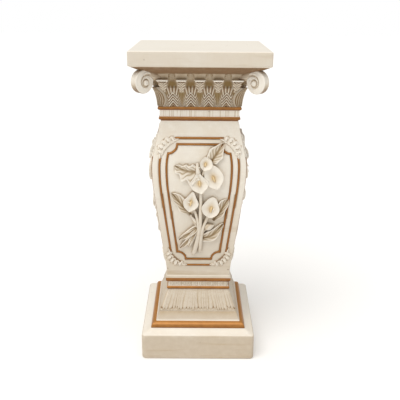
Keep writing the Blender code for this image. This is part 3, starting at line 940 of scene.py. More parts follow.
    def _fan(self, rise: Array, fan: Array) -> Carving:
        """Fan leaf: nested ribs in a flaring shield, under a thick lip.

        Args:
            rise: Heights over the bell's foot, in millimetres.
            fan: Places beside the nearest fan.

        Returns:
            The carving.
        """
        off = np.abs(fan)
        climb = unit((rise - self.fan_foot) / self.fan_height)
        half = 3.4 + 8.4 * climb ** 0.75
        cover = smooth_step(0.0, 0.22, unit(1 - (fan / half) ** 2))
        cover = cover * smooth_step(31.0, 36.0, rise) * smooth_step(62.9, 61.7, rise)
        lip = smooth_step(self.lip_foot, self.lip_foot + 1.0, rise)
        under_lip = hump(rise - self.lip_foot + 1.3, 1.3)
        nested = ridge((rise - 1.7 * off + 0.9 * off ** 2 / half) / 5.4 + 0.1)
        rolled = 1.4 * smooth_step(0.55, 0.9, off / half)
        out = 2.0 + 6.4 * climb ** 1.4 + rolled + 2.0 * (nested - 0.5) * (1 - lip)
        out = cover * (out + 1.6 * lip - 1.8 * under_lip)
        # Painted shadow under the thick lip and painted shade between the nested ribs, painted highlights
        # on the lip and the ribs
        wash = (0.24 + 0.46 * (1 - nested) ** 1.2 + 0.5 * under_lip) * (1 - lip)
        return Carving(out, cover, wash, 0.22 * (1 - lip), np.maximum(nested ** 4 * 0.3, 0.65 * lip))

    def _stalk(self, rise: Array, column: Array, between: Array) -> Carving:
        """Stalk with an arched, ribbed head and a rim darkened as painted shade.

        Args:
            rise: Heights over the bell's foot, in millimetres.
            column: Places beside the nearest column.
            between: Where the hollows between the fans are.

        Returns:
            The carving.
        """
        arch = np.sqrt(unit(1 - (np.maximum(rise - self.arch_foot, 0.0) / self.arch_height) ** 2))
        head = 3.6 + 2.4 * smooth_step(50.0, 66.0, rise)
        beyond = np.abs(column) / np.maximum(head * arch, 1e-3)
        cover = smooth_step(1.08, 0.86, beyond) * smooth_step(46.0, 60.0, rise)
        rays = ridge(column / (2.2 + 0.04 * (rise - 50.0)), 1.2)
        # Painted shade round the head's rim, between its ribs and in the gaps between the fans
        rim = hump(beyond - 1.06, 0.13) * smooth_step(62.0, 69.0, rise)
        wash = 0.26 + 0.52 * (1 - rays) + 0.60 * between
        return Carving(cover * (1.6 + 1.6 * (rays - 0.5)), cover, wash, rim=0.8 * rim)


@dataclass
class Plate(Assembly):
    """Top plate with rolled edges over a sloping soffit, which is painted dark brown as shade under the
    plate.
    """

    corner: float = 0.0035
    edge: float = 0.0028
    edge_steps: int = 5
    soffit_corner: float = 0.016
    soffit_sag: float = 0.0016

    def build(self) -> dict[str, Mesh]:
        """Make the plate."""
        size = self.outline
        half, bell = size.plate_side / 2, size.bell_top_side / 2
        # Painted shade: the soffit under the plate is dark brown
        stations = [Station(bell - 0.006, size.soffit - 0.006, self.soffit_corner, wash=1.0),
                    Station(bell, size.soffit - 0.001, self.soffit_corner, wash=0.62)]
        for share in (0.15, 0.4, 0.7, 0.95):
            reach = bell + (half - self.edge - bell) * share
            corner = self.soffit_corner + (self.corner - self.soffit_corner) * share
            z = size.soffit + size.soffit_height * share - self.soffit_sag * math.sin(math.pi * share)
            stations.append(Station(reach, z, corner, wash=1.0 - 0.1 * share))
        top = size.plate + size.plate_height
        stations += slab_stations(half, size.plate, top, self.corner, self.edge, self.edge_steps, 5)
        for share in (0.85, 0.6, 0.3):
            stations.append(Station(half * share, top, self.corner))
        return {"plate": SquareLoft().build(stations)}


@dataclass
class PanelBeads(Assembly):
    """Gold half-round beads that frame the panel on each face, in millimetres."""

    width: float = 5.2
    reach: float = 2.6
    outer_inset: float = 17.0
    inner_inset: float = 33.0
    top: float = 563.0
    bottom: float = 235.5
    gap_top: float = 14.0
    gap_bottom: float = 17.5
    notch: float = 20.5
    rail_bottom: float = 38.0
    rail_top: float = 44.0
    top_half: float = 55.5
    bottom_half: float = 31.5
    root: float = 1.2
    notch_steps: int = 12
    side_rows: int = 44
    bar_points: int = 16

    def _half(self, up: Array, inset: float) -> Array:
        """Half-width of the body less an inset, in millimetres."""
        return self.outline.body_half(up * MM) / MM - inset

    def _section(self) -> Array:
        """Draw the bead's section.

        Returns:
            A half round with its root sunk in the face.
        """
        turns = np.radians(np.linspace(-90, 90, 9))
        arc = np.stack([np.sin(turns) * self.width / 2, np.cos(turns) * self.reach], axis=1)
        return np.vstack([[-self.width / 2, -self.root], arc, [self.width / 2, -self.root]])

    def _notch(self, centre: Sequence[float], start: float, end: float) -> Array:
        """Quarter circle hollowed out of a corner of the inner bead."""
        turns = np.radians(np.linspace(start, end, self.notch_steps + 1))
        return np.array(centre) + self.notch * np.stack([np.cos(turns), np.sin(turns)], axis=1)

    def _inner(self) -> Array:
        """Draw the inner bead.

        Returns:
            Its closed outline, with hollow corners.
        """
        top, bottom = self.top - self.gap_top, self.bottom + self.gap_bottom
        levels = np.linspace(bottom + self.notch, top - self.notch, self.side_rows)
        sides = np.stack([self._half(levels, self.inner_inset), levels], axis=1)
        low = self._notch((sides[0, 0], bottom), 180, 90)
        high = self._notch((sides[-1, 0], top), 270, 180)
        right = np.vstack([low, sides[1:-1], high])
        return np.vstack([right, (right * (-1, 1))[::-1]])

    def _outer(self) -> list[Array]:
        """Draw the outer bead.

        Returns:
            Its four separate lengths.
        """
        levels = np.linspace(self.bottom + self.rail_bottom, self.top - self.rail_top, self.side_rows)
        right = np.stack([self._half(levels, self.outer_inset), levels], axis=1)
        bar = np.stack([np.linspace(-1, 1, self.bar_points), np.ones(self.bar_points)], axis=1)
        top, bottom = bar * (self.top_half, self.top), bar * (self.bottom_half, self.bottom)
        return [right, right * (-1, 1), top, bottom]

    def build(self) -> dict[str, Mesh]:
        """Make the beads of the four faces."""
        section = self._section()
        parts = [ribbon(self._inner(), section, self.outline, closed=True)]
        parts += [ribbon(path, section, self.outline) for path in self._outer()]
        return {"panel_beads": all_round(joined(parts))}


class Relief:
    """Closed form on the body's front face, carried there from a flat grid."""

    grid: ClassVar[tuple[int, int]]

    def surface(self, share: Array, rise: Array) -> Form:
        """Give the form its shape, in millimetres.

        Args:
            share: Places along the grid, from 0 to 1.
            rise: Places up the grid, from 0 to 1.

        Returns:
            Places across and up the face, how far they stand out from it, and their coats.
        """
        raise NotImplementedError

    def mesh(self, outline: Outline) -> Mesh:
        """Make the form.

        Args:
            outline: The casting that it lies on.

        Returns:
            The closed bmesh.
        """
        def rule(share: Array, rise: Array) -> Surface:
            """Surface on the casting."""
            spot, out, coats = self.surface(share, rise)
            return outline.on_body(spot, out), coats

        return close_up(warp_sheet(*self.grid, rule))


@dataclass(frozen=True)
class Lobe(Relief):
    """Rounded lobe of a scrolled leaf, with a hollow eye near its root painted dark as shade, in
    millimetres.
    """

    centre: tuple[float, float]
    turn: float
    length: float
    width: float
    height: float
    eye: float
    point: float

    grid = (24, 16)

    def surface(self, round_share: Array, rise: Array) -> Form:
        """Egg-shaped dome, steep at its root, that runs down to the face."""
        ahead = np.array([math.cos(math.radians(self.turn)), math.sin(math.radians(self.turn))])
        aside = np.array([-ahead[1], ahead[0]])
        angle = round_share * 2 * np.pi
        radial = unit(rise / 0.88)
        along, across = radial * np.cos(angle), radial * np.sin(angle)
        narrow = 1 + 0.15 * along - self.point * smooth_step(-0.2, 1.0, along)
        spot = (np.array(self.centre) + ahead * (along * self.length / 2)[:, None]
                + aside * (across * self.width / 2 * narrow)[:, None])
        curl = np.hypot(along - 0.12, across)
        eye = hump(curl - 0.40, 0.17) * smooth_step(0.35, -0.25, across + 0.5 * along)
        out = self.height * (1 - radial ** 2.4) ** 0.8 - self.eye * eye + 0.15
        out = np.where(rise > 0.92, -1.4, out)
        foot = smooth_step(0.80, 0.94, rise)
        # Painted shade in the eye and where the lobe meets the face, painted highlight over its dome
        coats = {Coat.WASH: unit(0.75 * eye + 0.55 * foot),
                 Coat.PALE: 0.7 * unit((1 - radial) * 1.5) * (1 - eye)}
        return spot, out, coats


@dataclass(frozen=True)
class LeafyCorner(Relief):
    """Scrolled leaf round a notch of the panel: lobes between two long tips, in millimetres."""

    centre: tuple[float, float]
    start: float
    end: float
    radius: float
    lobes: int
    tip_start: float
    tip_end: float
    scale: float = 1.0

    grid = (60, 24)

    def forms(self) -> list[Relief]:
        """Spread the leaf over the right half of the front face.

        Returns:
            The lobes and the web that joins them.
        """
        lobes: list[Relief] = [self]
        sign = math.copysign(1.0, self.end - self.start)
        for index in range(self.lobes):
            share = index / (self.lobes - 1)
            turn = self.start + (self.end - self.start) * share
            swing = 18.0 * (1 - 2 * share) * sign
            size = self.scale * (1.0 + 0.14 * math.sin(math.pi * share) + 0.10 * (index % 2))
            lobes.append(Lobe(self._spot(turn), turn + swing, 17.0 * size, 11.5 * size, 4.6, 2.4, 0.1))
        for turn, lean, length in ((self.start - sign * 11, -sign * 74, self.tip_start),
                                   (self.end + sign * 11, sign * 74, self.tip_end)):
            lobes.append(Lobe(self._spot(turn), turn + lean, length, 8.0, 4.2, 1.6, 0.75))
        return lobes

    def surface(self, share: Array, rise: Array) -> Form:
        """Web: a low crescent with a raised inner lip, buried all round."""
        angle = np.radians(self.start + (self.end - self.start) * (1.24 * share - 0.12))
        slim = np.sin(np.pi * unit(share)) ** 0.5
        reach = self.radius - 2.0 + (rise - 0.5) * 19.0 * self.scale * slim
        veins = ridge(share * 2 * self.lobes)
        out = 2.8 - 0.9 * rise + 0.8 * hump(rise - 0.16, 0.08) - 0.5 * veins
        out = np.where((rise < 0.06) | (rise > 0.97), -1.2, out)
        spot = np.array(self.centre) + reach[:, None] * np.stack([np.cos(angle), np.sin(angle)], axis=1)
        # Painted shade between the veins and along the web's inner edge
        wash = 0.10 + 0.22 * (1 - veins) * smooth_step(0.3, 0.8, rise)
        wash = wash + 0.4 * smooth_step(0.12, 0.02, rise)
        return spot, out, {Coat.WASH: wash}

    def _spot(self, turn: float) -> tuple[float, float]:
        """Find a place on the notch.

        Args:
            turn: Angle round its centre, in degrees.

        Returns:
            The place across and up.
        """
        angle = math.radians(turn)
        across, up = self.centre
        return across + self.radius * math.cos(angle), up + self.radius * math.sin(angle)


@dataclass(frozen=True)
class Club(Relief):
    """Slim bumpy spindle in a lily's throat, in millimetres."""

    throat: tuple[float, float]
    tip: tuple[float, float]
    depth: float
    thickness: float = 2.0

    grid = (14, 18)

    def surface(self, round_share: Array, rise: Array) -> Form:
        """Spindle that lies along the cup and lifts towards its end."""
        start, along, across = axis_between(self.throat, self.tip)
        angle = round_share * 2 * np.pi
        thick = self.thickness * np.sqrt(unit(np.sin(np.pi * unit(rise) ** 0.8))) + 0.02
        bumps = 0.14 * ridge(rise * 9) * ridge(round_share * 6 + rise * 4.5)
        spot = start + along * (0.44 + 0.32 * rise)[:, None]
        spot = spot + across * (np.cos(angle) * (thick + bumps))[:, None]
        lift = self.depth + 1.4 + 3.4 * rise + np.sin(angle) * (thick + bumps)
        return spot, lift, {Coat.BLOOM: np.full(len(rise), 0.85)}

@dataclass(frozen=True)
class Lily(Relief):
    """Calla lily in relief: a flared cup with a rolled rim and a club in its throat, in millimetres."""

    throat: tuple[float, float]
    tip: tuple[float, float]
    width: float
    lean: float = 0.0
    reach: float = 13.0
    deep: float = 0.52
    depth: float = 3.0
    point: float = 0.05
    back: float = 0.26
    curl: float = 2.0

    grid = (56, 28)

    def surface(self, round_share: Array, rise: Array) -> Form:
        """Inside of the cup, its rim and its outside down to the face."""
        start, along, aside = axis_between(self.throat, self.tip)
        half = [(0.06, self.back, 0.50), (0.27, self.back + 0.16, 0.66), (0.54, 0.50, 0.94),
                (0.78, 0.41, 1.0), (0.94, 0.20, 0.96)]
        rim = ([(-0.02, 0.0, 0.40)] + half + [(1.0 + self.point, 0.02, 0.78)]
               + [(share, -0.95 * side, lift) for share, side, lift in reversed(half)])
        knots = []
        for share, side, lift in rim:
            off = self.width * (side + self.lean * math.sin(math.pi * share))
            knots.append((*(start + along * share + aside * off), lift * self.reach))
        floor = start + along * self.deep
        edge = curve_through(knots, round_share, closed=True)
        inside = unit(rise / 0.62)
        over = unit((rise - 0.62) / 0.20)
        down = unit((rise - 0.82) / 0.18)
        scale = inside + 0.055 * np.sin(over * np.pi / 2) - 0.24 * down
        spot = floor + (edge[:, :2] - floor) * scale[:, None]
        flare = 0.2 * (1 - (1 - inside) ** 2.0) + 0.8 * inside ** 2.1
        pleat = 0.35 * ridge(round_share * 12) * np.sin(np.pi * inside)
        sway = 1.1 * np.sin(round_share * 4 * np.pi + 1.0) * inside ** 2
        out = self.depth + (edge[:, 2] - self.depth) * flare + pleat + sway
        out = out + 1.1 * np.sin(np.pi * over) - self.curl * over ** 2
        out = out * (1 - down) - 1.6 * down
        # Painted shade on the cup's outside under its rim and deep in its throat, painted highlights on the
        # rim
        wash = 0.8 * smooth_step(0.1, 0.9, down) + 0.36 * (1 - inside) ** 1.4 + 0.08 * pleat * inside
        coats = {Coat.WASH: wash, Coat.BLOOM: 0.85 * (1 - inside) ** 1.5,
                 Coat.PALE: 0.6 * smooth_step(0.45, 0.85, inside) * (1 - down)}
        return spot, out, coats

    def club(self) -> Club:
        """Club that stands in the cup."""
        return Club(self.throat, self.tip, self.depth)


@dataclass(frozen=True)
class Leaf(Relief):
    """Pointed leaf in relief with a folded midrib, ruffled edges and veins, in millimetres."""

    spine: Sequence[tuple[float, float]]
    left: float
    right: float
    reach: float = 8.0
    fold: float = -2.6
    ruffles: float = 0.0
    ruffle: float = 0.0
    fullest: float = 0.7
    veins: float = 5.0
    tone: float = 0.12

    @property
    def grid(self) -> tuple[int, int]:
        """Faces along and across the leaf."""
        return max(14, round(math.dist(self.spine[0], self.spine[-1]) / 1.6)), 22

    def surface(self, share: Array, side_share: Array) -> Form:
        """Surface across the midrib, with its edges carried down to the face."""
        along = unit((share - 0.02) / 0.96)
        spot, across = follow(self.spine, along)
        side = (side_share * 2 - 1) / 0.9
        blade = np.clip(side, -1.0, 1.0)
        wave = 2 * np.pi * self.ruffles * along
        profile = np.sin(np.pi * along ** self.fullest) ** 0.75 + 0.03
        profile = profile * (1 + self.ruffle * 0.08 * np.cos(wave))
        width = np.where(blade > 0, self.left, self.right) * profile
        spot = spot + across * (width * blade)[:, None]
        lift = self.reach * (0.55 + 0.45 * np.sin(np.pi * along ** 0.8))
        bent = np.abs(blade)
        out = lift + self.fold * (1 - bent) ** 1.3 + 0.9 * hump(bent - 0.88, 0.14)
        out = out + self.ruffle * bent ** 2 * np.cos(wave + 0.8 * np.sign(blade))
        vein = ridge(self.veins * (along - 0.45 * bent), 3.0)
        out = out - 0.8 * vein * np.sin(np.pi * bent)
        wall = sunk_rim(side, share)
        out = np.where(wall, -1.5, np.maximum(out, 0.8))
        # Painted shade in the veins, along the folded midrib and on the buried edge, painted highlights on
        # the raised edges
        wash = self.tone + 0.46 * vein * np.sin(np.pi * bent) + 0.50 * hump(bent, 0.18)
        wash = np.where(wall, 0.7, wash * smooth_step(1.0, 0.8, bent))
        coats = {Coat.WASH: unit(wash), Coat.MOSS: unit(wash * 0.8),
                 Coat.PALE: np.where(wall, 0.0, 0.7 * smooth_step(0.6, 0.95, bent))}
        return spot, out, coats


@dataclass(frozen=True)
class Stem(Relief):
    """Round stem in relief that tapers along its path, in millimetres."""

    path: Sequence[tuple[float, float, float]]
    foot: float = 3.4
    head: float = 3.0

    @property
    def grid(self) -> tuple[int, int]:
        """Faces along and round the stem."""
        return max(12, round(math.dist(self.path[0][:2], self.path[-1][:2]) / 3)), 16

    def surface(self, share: Array, round_share: Array) -> Form:
        """Tube round the path, whose third number is its lift."""
        spot, across = follow(self.path, share)
        angle = round_share * 2 * np.pi
        taper = np.clip(np.minimum(share, 1 - share) / 0.03, 0.3, 1.0)
        thick = (self.foot + (self.head - self.foot) * share) * taper
        flat = spot[:, :2] + across * (np.cos(angle) * thick)[:, None]
        out = np.maximum(spot[:, 2] + np.sin(angle) * thick, -1.5)
        fibre = 0.10 * ridge(round_share * 7, 1.5)
        coats = {Coat.WASH: fibre + 0.08, Coat.MOSS: fibre + 0.14}
        return flat, out, coats


@dataclass(frozen=True)
class Bud(Relief):
    """Closed bud in relief, in millimetres."""

    foot: tuple[float, float]
    tip: tuple[float, float]
    thick: float
    lift: float = 4.0

    grid = (24, 18)

    def surface(self, round_share: Array, rise: Array) -> Form:
        """Spindle with one wrapped edge."""
        start, along, across = axis_between(self.foot, self.tip)
        angle = round_share * 2 * np.pi
        thick = self.thick / 2 * np.sin(np.pi * np.clip(rise, 0.001, 0.999) ** 0.75) ** 0.7
        wrap = 0.5 * ridge(round_share + rise * 0.35 - 0.3, 10.0)
        spot = start + along * rise[:, None] + across * (np.cos(angle) * (thick - wrap))[:, None]
        out = np.maximum(self.lift + np.sin(angle) * (thick - wrap), -1.4)
        # Painted shade in the crease of the wrapped edge
        return spot, out, {Coat.WASH: 0.9 * wrap}


@dataclass
class Sprays(Assembly):
    """Lily sprays on the four faces, the back one plainer."""

    lilies: tuple[Lily, ...] = (
        Lily((19, 520), (11, 494), 29, 0.04, 13.5),
        Lily((-3, 490), (4, 439), 43, -0.03, 14.5, 0.6, 5.0, 0.06, 0.05),
        Lily((22, 500), (42, 450), 43, 0.04, 13.0, 0.55, 3.0, 0.05),
        Lily((-14, 436), (-23, 391), 36, 0.0, 13.5, 0.5, 6.0, 0.05, 0.12),
        Lily((33, 422), (26, 374), 42, -0.05, 14.0, 0.55, 6.0, 0.02, 0.2))
    leaves: tuple[Leaf, ...] = (
        Leaf([(28, 512), (41, 531), (55, 552)], 18, 15, 10.0, -6.0, 2.0, 1.2, 0.62, 5, 0.20),
        Leaf([(3, 488), (-20, 489), (-40, 494), (-56, 502)], 28, 14, 10.5, -4.5, 3.6, 2.4, 0.50, 5, 0.16),
        Leaf([(-18, 377), (-40, 402), (-64, 433)], 12, 19, 7.5, -5.0, 2.5, 1.4, 0.80, 5, 0.22),
        Leaf([(34, 362), (52, 388), (69, 419)], 17, 10, 7.5, -5.0, 2.5, 1.4, 0.95, 5, 0.24),
        Leaf([(5, 314), (32, 322), (59, 354)], 14, 12, 9.5, -5.0, 2.0, 1.2, 0.72, 4, 0.22),
        Leaf([(-2, 346), (-22, 328), (-48, 309)], 8.5, 9, 9.5, -4.0, 1.0, 0.6, 0.75, 2, 0.14),
        Leaf([(-6, 336), (-24, 309), (-46, 285)], 7.5, 7.5, 8.5, -3.5, 1.0, 0.6, 0.75, 2, 0.14),
        Leaf([(-8, 326), (-19, 306), (-25, 288)], 5.5, 5.5, 7.5, 1.5, 1.0, 0.2, 0.8, 1, 0.14))
    stems: tuple[Stem, ...] = (
        Stem([(3, 455, 3), (4, 425, 5), (4, 385, 8), (3, 350, 9), (-1, 320, 8.5), (-7, 290, 7),
              (-13, 266, 2)], 3.6, 5.8),
        Stem([(25, 384, 3), (17, 362, 6), (10, 344, 9), (6, 320, 9), (4, 298, 7), (3, 274, 2)], 3.6, 5.0),
        Stem([(-13, 396, 3), (-7, 380, 6), (-2, 358, 9), (0, 334, 8)], 3.0, 4.2),
        Stem([(-20, 378, 3), (-12, 362, 5), (-4, 344, 6)], 2.4, 3.2),
        Stem([(24, 343, 3), (14, 336, 5), (5, 322, 6)], 2.6, 3.2),
        Stem([(-4, 508, 4), (-4, 500, 5), (-3, 492, 5), (-2, 482, 4)], 3.4, 6.5),
        Stem([(14, 500, 3), (10, 486, 4), (6, 470, 3)], 2.6, 3.0))
    buds: tuple[Bud, ...] = (Bud((-5, 351), (-16, 373), 9.5, 7.0), Bud((12, 342), (37, 350), 18.0, 5.0))
    back_lilies: tuple[Lily, ...] = (Lily((0, 494), (0, 430), 50),)
    back_leaves: tuple[Leaf, ...] = (
        Leaf([(0, 370), (-24, 398), (-50, 425)], 14, 14, 9.0, -3.5, 2.5, 0.8),
        Leaf([(0, 350), (24, 374), (50, 400)], 14, 14, 9.0, -3.5, 2.5, 0.8))
    back_stems: tuple[Stem, ...] = (Stem([(0, 440, 3), (1, 390, 7), (-1, 340, 7), (-5, 282, 2)], 3.6, 4.8),)

    def _joined(self, lilies: Sequence[Lily], others: Sequence[Relief]) -> Mesh:
        """Put the lilies, their clubs and the other forms of a spray on the front face."""
        forms = [*lilies, *(lily.club() for lily in lilies), *others]
        return joined([form.mesh(self.outline) for form in forms])

    def build(self) -> dict[str, Mesh]:
        """Make the sprays."""
        full = self._joined(self.lilies, self.leaves + self.stems + self.buds)
        plain = self._joined(self.back_lilies, self.back_leaves + self.back_stems)
        return {"lily_spray_front": full, "lily_spray_right": turned(full, 90),
                "lily_spray_left": turned(full, -90), "lily_spray_back": turned(plain, 180)}


@dataclass
class Corners(Assembly):
    """Leafy corners of the four panels."""

    top: LeafyCorner = LeafyCorner((57.0, 527.0), 6.0, 82.0, 32.5, 5, 19.0, 21.0)
    bottom: LeafyCorner = LeafyCorner((38.0, 272.5), -8.0, -80.0, 34.0, 5, 23.0, 27.0, 1.05)

    def build(self) -> dict[str, Mesh]:
        """Make the sixteen corners."""
        right = joined([form.mesh(self.outline) for form in self.top.forms() + self.bottom.forms()])
        left = right.copy()
        bmesh.ops.scale(left, verts=left.verts, vec=(-1, 1, 1))
        bmesh.ops.recalc_face_normals(left, faces=left.faces)
        return {"leafy_corners": all_round(joined([right, left]))}


@dataclass
class Volutes(Assembly):
    """Scrolls at the plate's four corners, each with a neck that leaves the bell, in millimetres."""

    radius: float = 26.0
    thickness: float = 19.5
    inset: float = 39.5
    drop: float = 16.0
    eye_drop: float = 2.4
    eye_inward: float = 2.6
    eye: float = 6.6
    turns: int = 3
    coil_foot: float = 7.2
    coil_gain: float = 19.0
    coil_fade: float = 118.0
    groove: float = 1.7

    def _centre(self) -> tuple[float, float]:
        """Distance out along the diagonal and height of a scroll's middle."""
        corner_out = self.outline.plate_side / MM / math.sqrt(2)
        return corner_out - self.inset, self.outline.soffit / MM - self.drop

    def _carving(self, out: Array, up: Array) -> tuple[Array, Array]:
        """Carve a face of the scroll.

        Args:
            out: Places from its middle, out along the diagonal.
            up: The same places, up from its middle.

        Returns:
            Height of the face, and how deep its groove is.
        """
        eye_x, eye_z = out + self.eye_inward, up + self.eye_drop
        radius = np.hypot(eye_x, eye_z)
        # Angle wound from the inner side over the top to the outer side
        wound = np.degrees(np.arctan2(eye_z, -eye_x)) % 360
        rails = [self.coil_foot + self.coil_gain * np.exp(-(wound + 360 * turn) / self.coil_fade)
                 for turn in range(self.turns)]
        near = np.minimum.reduce([np.abs(radius - rail) for rail in rails])
        depth = hump(near, self.groove) * smooth_step(4.8, self.eye, radius)
        dome = 3.0 * np.sqrt(unit(1 - (radius / self.eye) ** 2))
        swell = 1.5 * smooth_step(26.0, 4.0, radius)
        cushion = 0.9 * np.sin(unit(near / 7.0) * np.pi)
        return swell + cushion - 2.6 * depth + dome, depth

    def _scroll(self) -> Mesh:
        """Make a scroll with its corner towards the front.

        Returns:
            The closed bmesh, from the middle of one face, over the rim, to the middle of the other.
        """
        middle_out, middle_up = self._centre()

        def rule(round_share: Array, rise: Array) -> Surface:
            """Two carved faces and a slightly hollow rim."""
            angle = round_share * 2 * np.pi
            side = np.where(rise < 0.5, 1.0, -1.0)
            inward = np.minimum(rise, 1 - rise) / 0.40
            on_face = inward <= 1.0
            radial = unit(inward)
            radius = self.radius * (radial - 0.035 * smooth_step(0.85, 1.0, radial))
            carve, depth = self._carving(radius * np.cos(angle), radius * np.sin(angle))
            edge = smooth_step(1.0, 0.90, radial)
            thick = self.thickness / 2 - 1.2 + carve * edge - 1.2 * (1 - edge)
            roll = (rise - 0.40) / 0.20
            hollow = 1 - 0.030 * np.sin(np.pi * unit(roll)) ** 0.5
            ledge = unit(np.minimum(roll, 1 - roll) / 0.12)
            rim_radius = self.radius * (0.965 + 0.035 * np.sin(ledge * np.pi / 2)) * hollow
            radius = np.where(on_face, radius, rim_radius)
            off = np.where(on_face, side * thick, (1 - 2 * roll) * (self.thickness / 2 - 2.4))
            out = middle_out + radius * np.cos(angle)
            up = middle_up + radius * np.sin(angle)
            # Painted shade in the groove and on the rim's underside, painted highlights on the face and on
            # the top of the rim
            below = smooth_step(0.3, -0.8, np.sin(angle))
            wash = np.where(on_face, 0.42 * depth * edge, 0.08 + 0.75 * below)
            pale = np.where(on_face, 0.9 * (1 - depth), 0.15 * (1 - below))
            coats = {Coat.WASH: wash, Coat.PALE: pale}
            return on_diagonal(off, out, up), coats

        return close_up(warp_sheet(88, 70, rule))

    def _neck(self) -> Mesh:
        """Make a neck with its corner towards the front.

        Returns:
            The closed bmesh, which flares in plan from the scroll's top to both faces of the bell.
        """
        middle_out, middle_up = self._centre()
        sections = [(middle_out + 2, 5.0, 24.0, 8.4), (middle_out - 14, 4.5, 24.6, 8.8),
                    (middle_out - 28, 0.0, 21.5, 12.0), (middle_out - 42, 0.5, 19.0, 17.5),
                    (middle_out - 56, 3.0, 17.0, 21.0), (middle_out - 70, 5.0, 15.0, 24.0)]

        def rule(share: Array, round_share: Array) -> Surface:
            """Rounded box sections with shallow flutes along them."""
            out, low, high, half = curve_through(sections, share).T
            angle = round_share * 2 * np.pi
            box_x = np.sign(np.cos(angle)) * np.abs(np.cos(angle)) ** 0.45
            box_z = np.sign(np.sin(angle)) * np.abs(np.sin(angle)) ** 0.6
            flute = 0.9 * ridge(box_z * 1.8 + 0.3, 1.5) * smooth_step(0.05, 0.3, share)
            off = box_x * (half - flute)
            up = middle_up + (low + high) / 2 + box_z * (high - low) / 2
            # Painted shade in the flutes and towards the bell, under the plate
            wash = 0.22 + 0.30 * smooth_step(0.2, 0.6, share) + 0.3 * flute
            return on_diagonal(off, out, up), {Coat.WASH: unit(wash)}

        return close_up(warp_sheet(30, 48, rule))

    def build(self) -> dict[str, Mesh]:
        """Make the four volutes."""
        return {"volutes": all_round(joined([self._scroll(), self._neck()]), 45)}


@dataclass
class HollowShadeAndGlaze:
    """Painted shade and brown antique glaze that darken the casting where it is hollow."""

    rays: int = 12
    distance: float = 0.025
    lift: float = 0.0005
    strength: float = 0.75

    def _directions(self) -> list[Vector]:
        """Spread the rays.

        Returns:
            Even directions over a half sphere about +Z, denser near its pole.
        """
        golden = math.pi * (3 - math.sqrt(5))
        found = []
        for index in range(self.rays):
            height = math.sqrt(1 - (index + 0.5) / self.rays * 0.93)
            flat = math.sqrt(1 - height * height)
            found.append(Vector((flat * math.cos(golden * index), flat * math.sin(golden * index), height)))
        return found

    def darken_hollows(self, pieces: dict[str, Mesh]) -> None:
        """Darken each vertex as painted shade, by how much of its view near pieces close off.

        Args:
            pieces: All the pieces, by name, whose brown masks are raised.
        """
        points, faces = [], []
        for bm in pieces.values():
            bm.verts.index_update()
            base = len(points)
            points += [vert.co.copy() for vert in bm.verts]
            faces += [[base + vert.index for vert in face.verts] for face in bm.faces]
        tree = BVHTree.FromPolygons(points, faces)
        directions = self._directions()
        for bm in pieces.values():
            bm.normal_update()
            layer = bm.verts.layers.float[Coat.WASH.value]
            for vert in bm.verts:
                normal = vert.normal
                turn = normal.to_track_quat("Z", "Y").to_matrix()
                start = vert.co + normal * self.lift
                shut = 0.0
                for direction in directions:
                    hit = tree.ray_cast(start, turn @ direction, self.distance)[3]
                    if hit is not None:
                        shut += 1.0 - hit / self.distance * 0.6
                vert[layer] = min(vert[layer] + self.strength * (shut / self.rays) ** 1.3, 1.0)


class Sock:
    """Output socket that adds Math nodes where it is used in an expression."""

    def __init__(self, book: "NodeBook", socket: bpy.types.NodeSocket) -> None:
        """Wrap a socket of a node book."""
        self.book = book
        self.socket = socket

    def _math(self, operation: str, first: "Sock | float", second: "Sock | float") -> "Sock":
        """Math node on two values."""
        return self.book.node("ShaderNodeMath", {"operation": operation}, {0: first, 1: second})

    def __add__(self, other: "Sock | float") -> "Sock":
        """Sum."""
        return self._math("ADD", self, other)

    __radd__ = __add__

    def __sub__(self, other: "Sock | float") -> "Sock":
        """Difference."""
        return self._math("SUBTRACT", self, other)

    def __rsub__(self, other: "Sock | float") -> "Sock":
        """Difference from a value."""
        return self._math("SUBTRACT", other, self)

    def __mul__(self, other: "Sock | float") -> "Sock":
        """Product."""
        return self._math("MULTIPLY", self, other)

    __rmul__ = __mul__

    def above(self, low: float, high: float) -> "Sock":
        """Ease from 0 at low to 1 at high."""
        return self.book.node("ShaderNodeMapRange", {"interpolation_type": "SMOOTHSTEP"},
                              {"Value": self, "From Min": low, "From Max": high})

    def shut(self) -> "Sock":
        """The value kept between 0 and 1."""
        return self.book.node("ShaderNodeClamp", {}, {"Value": self})


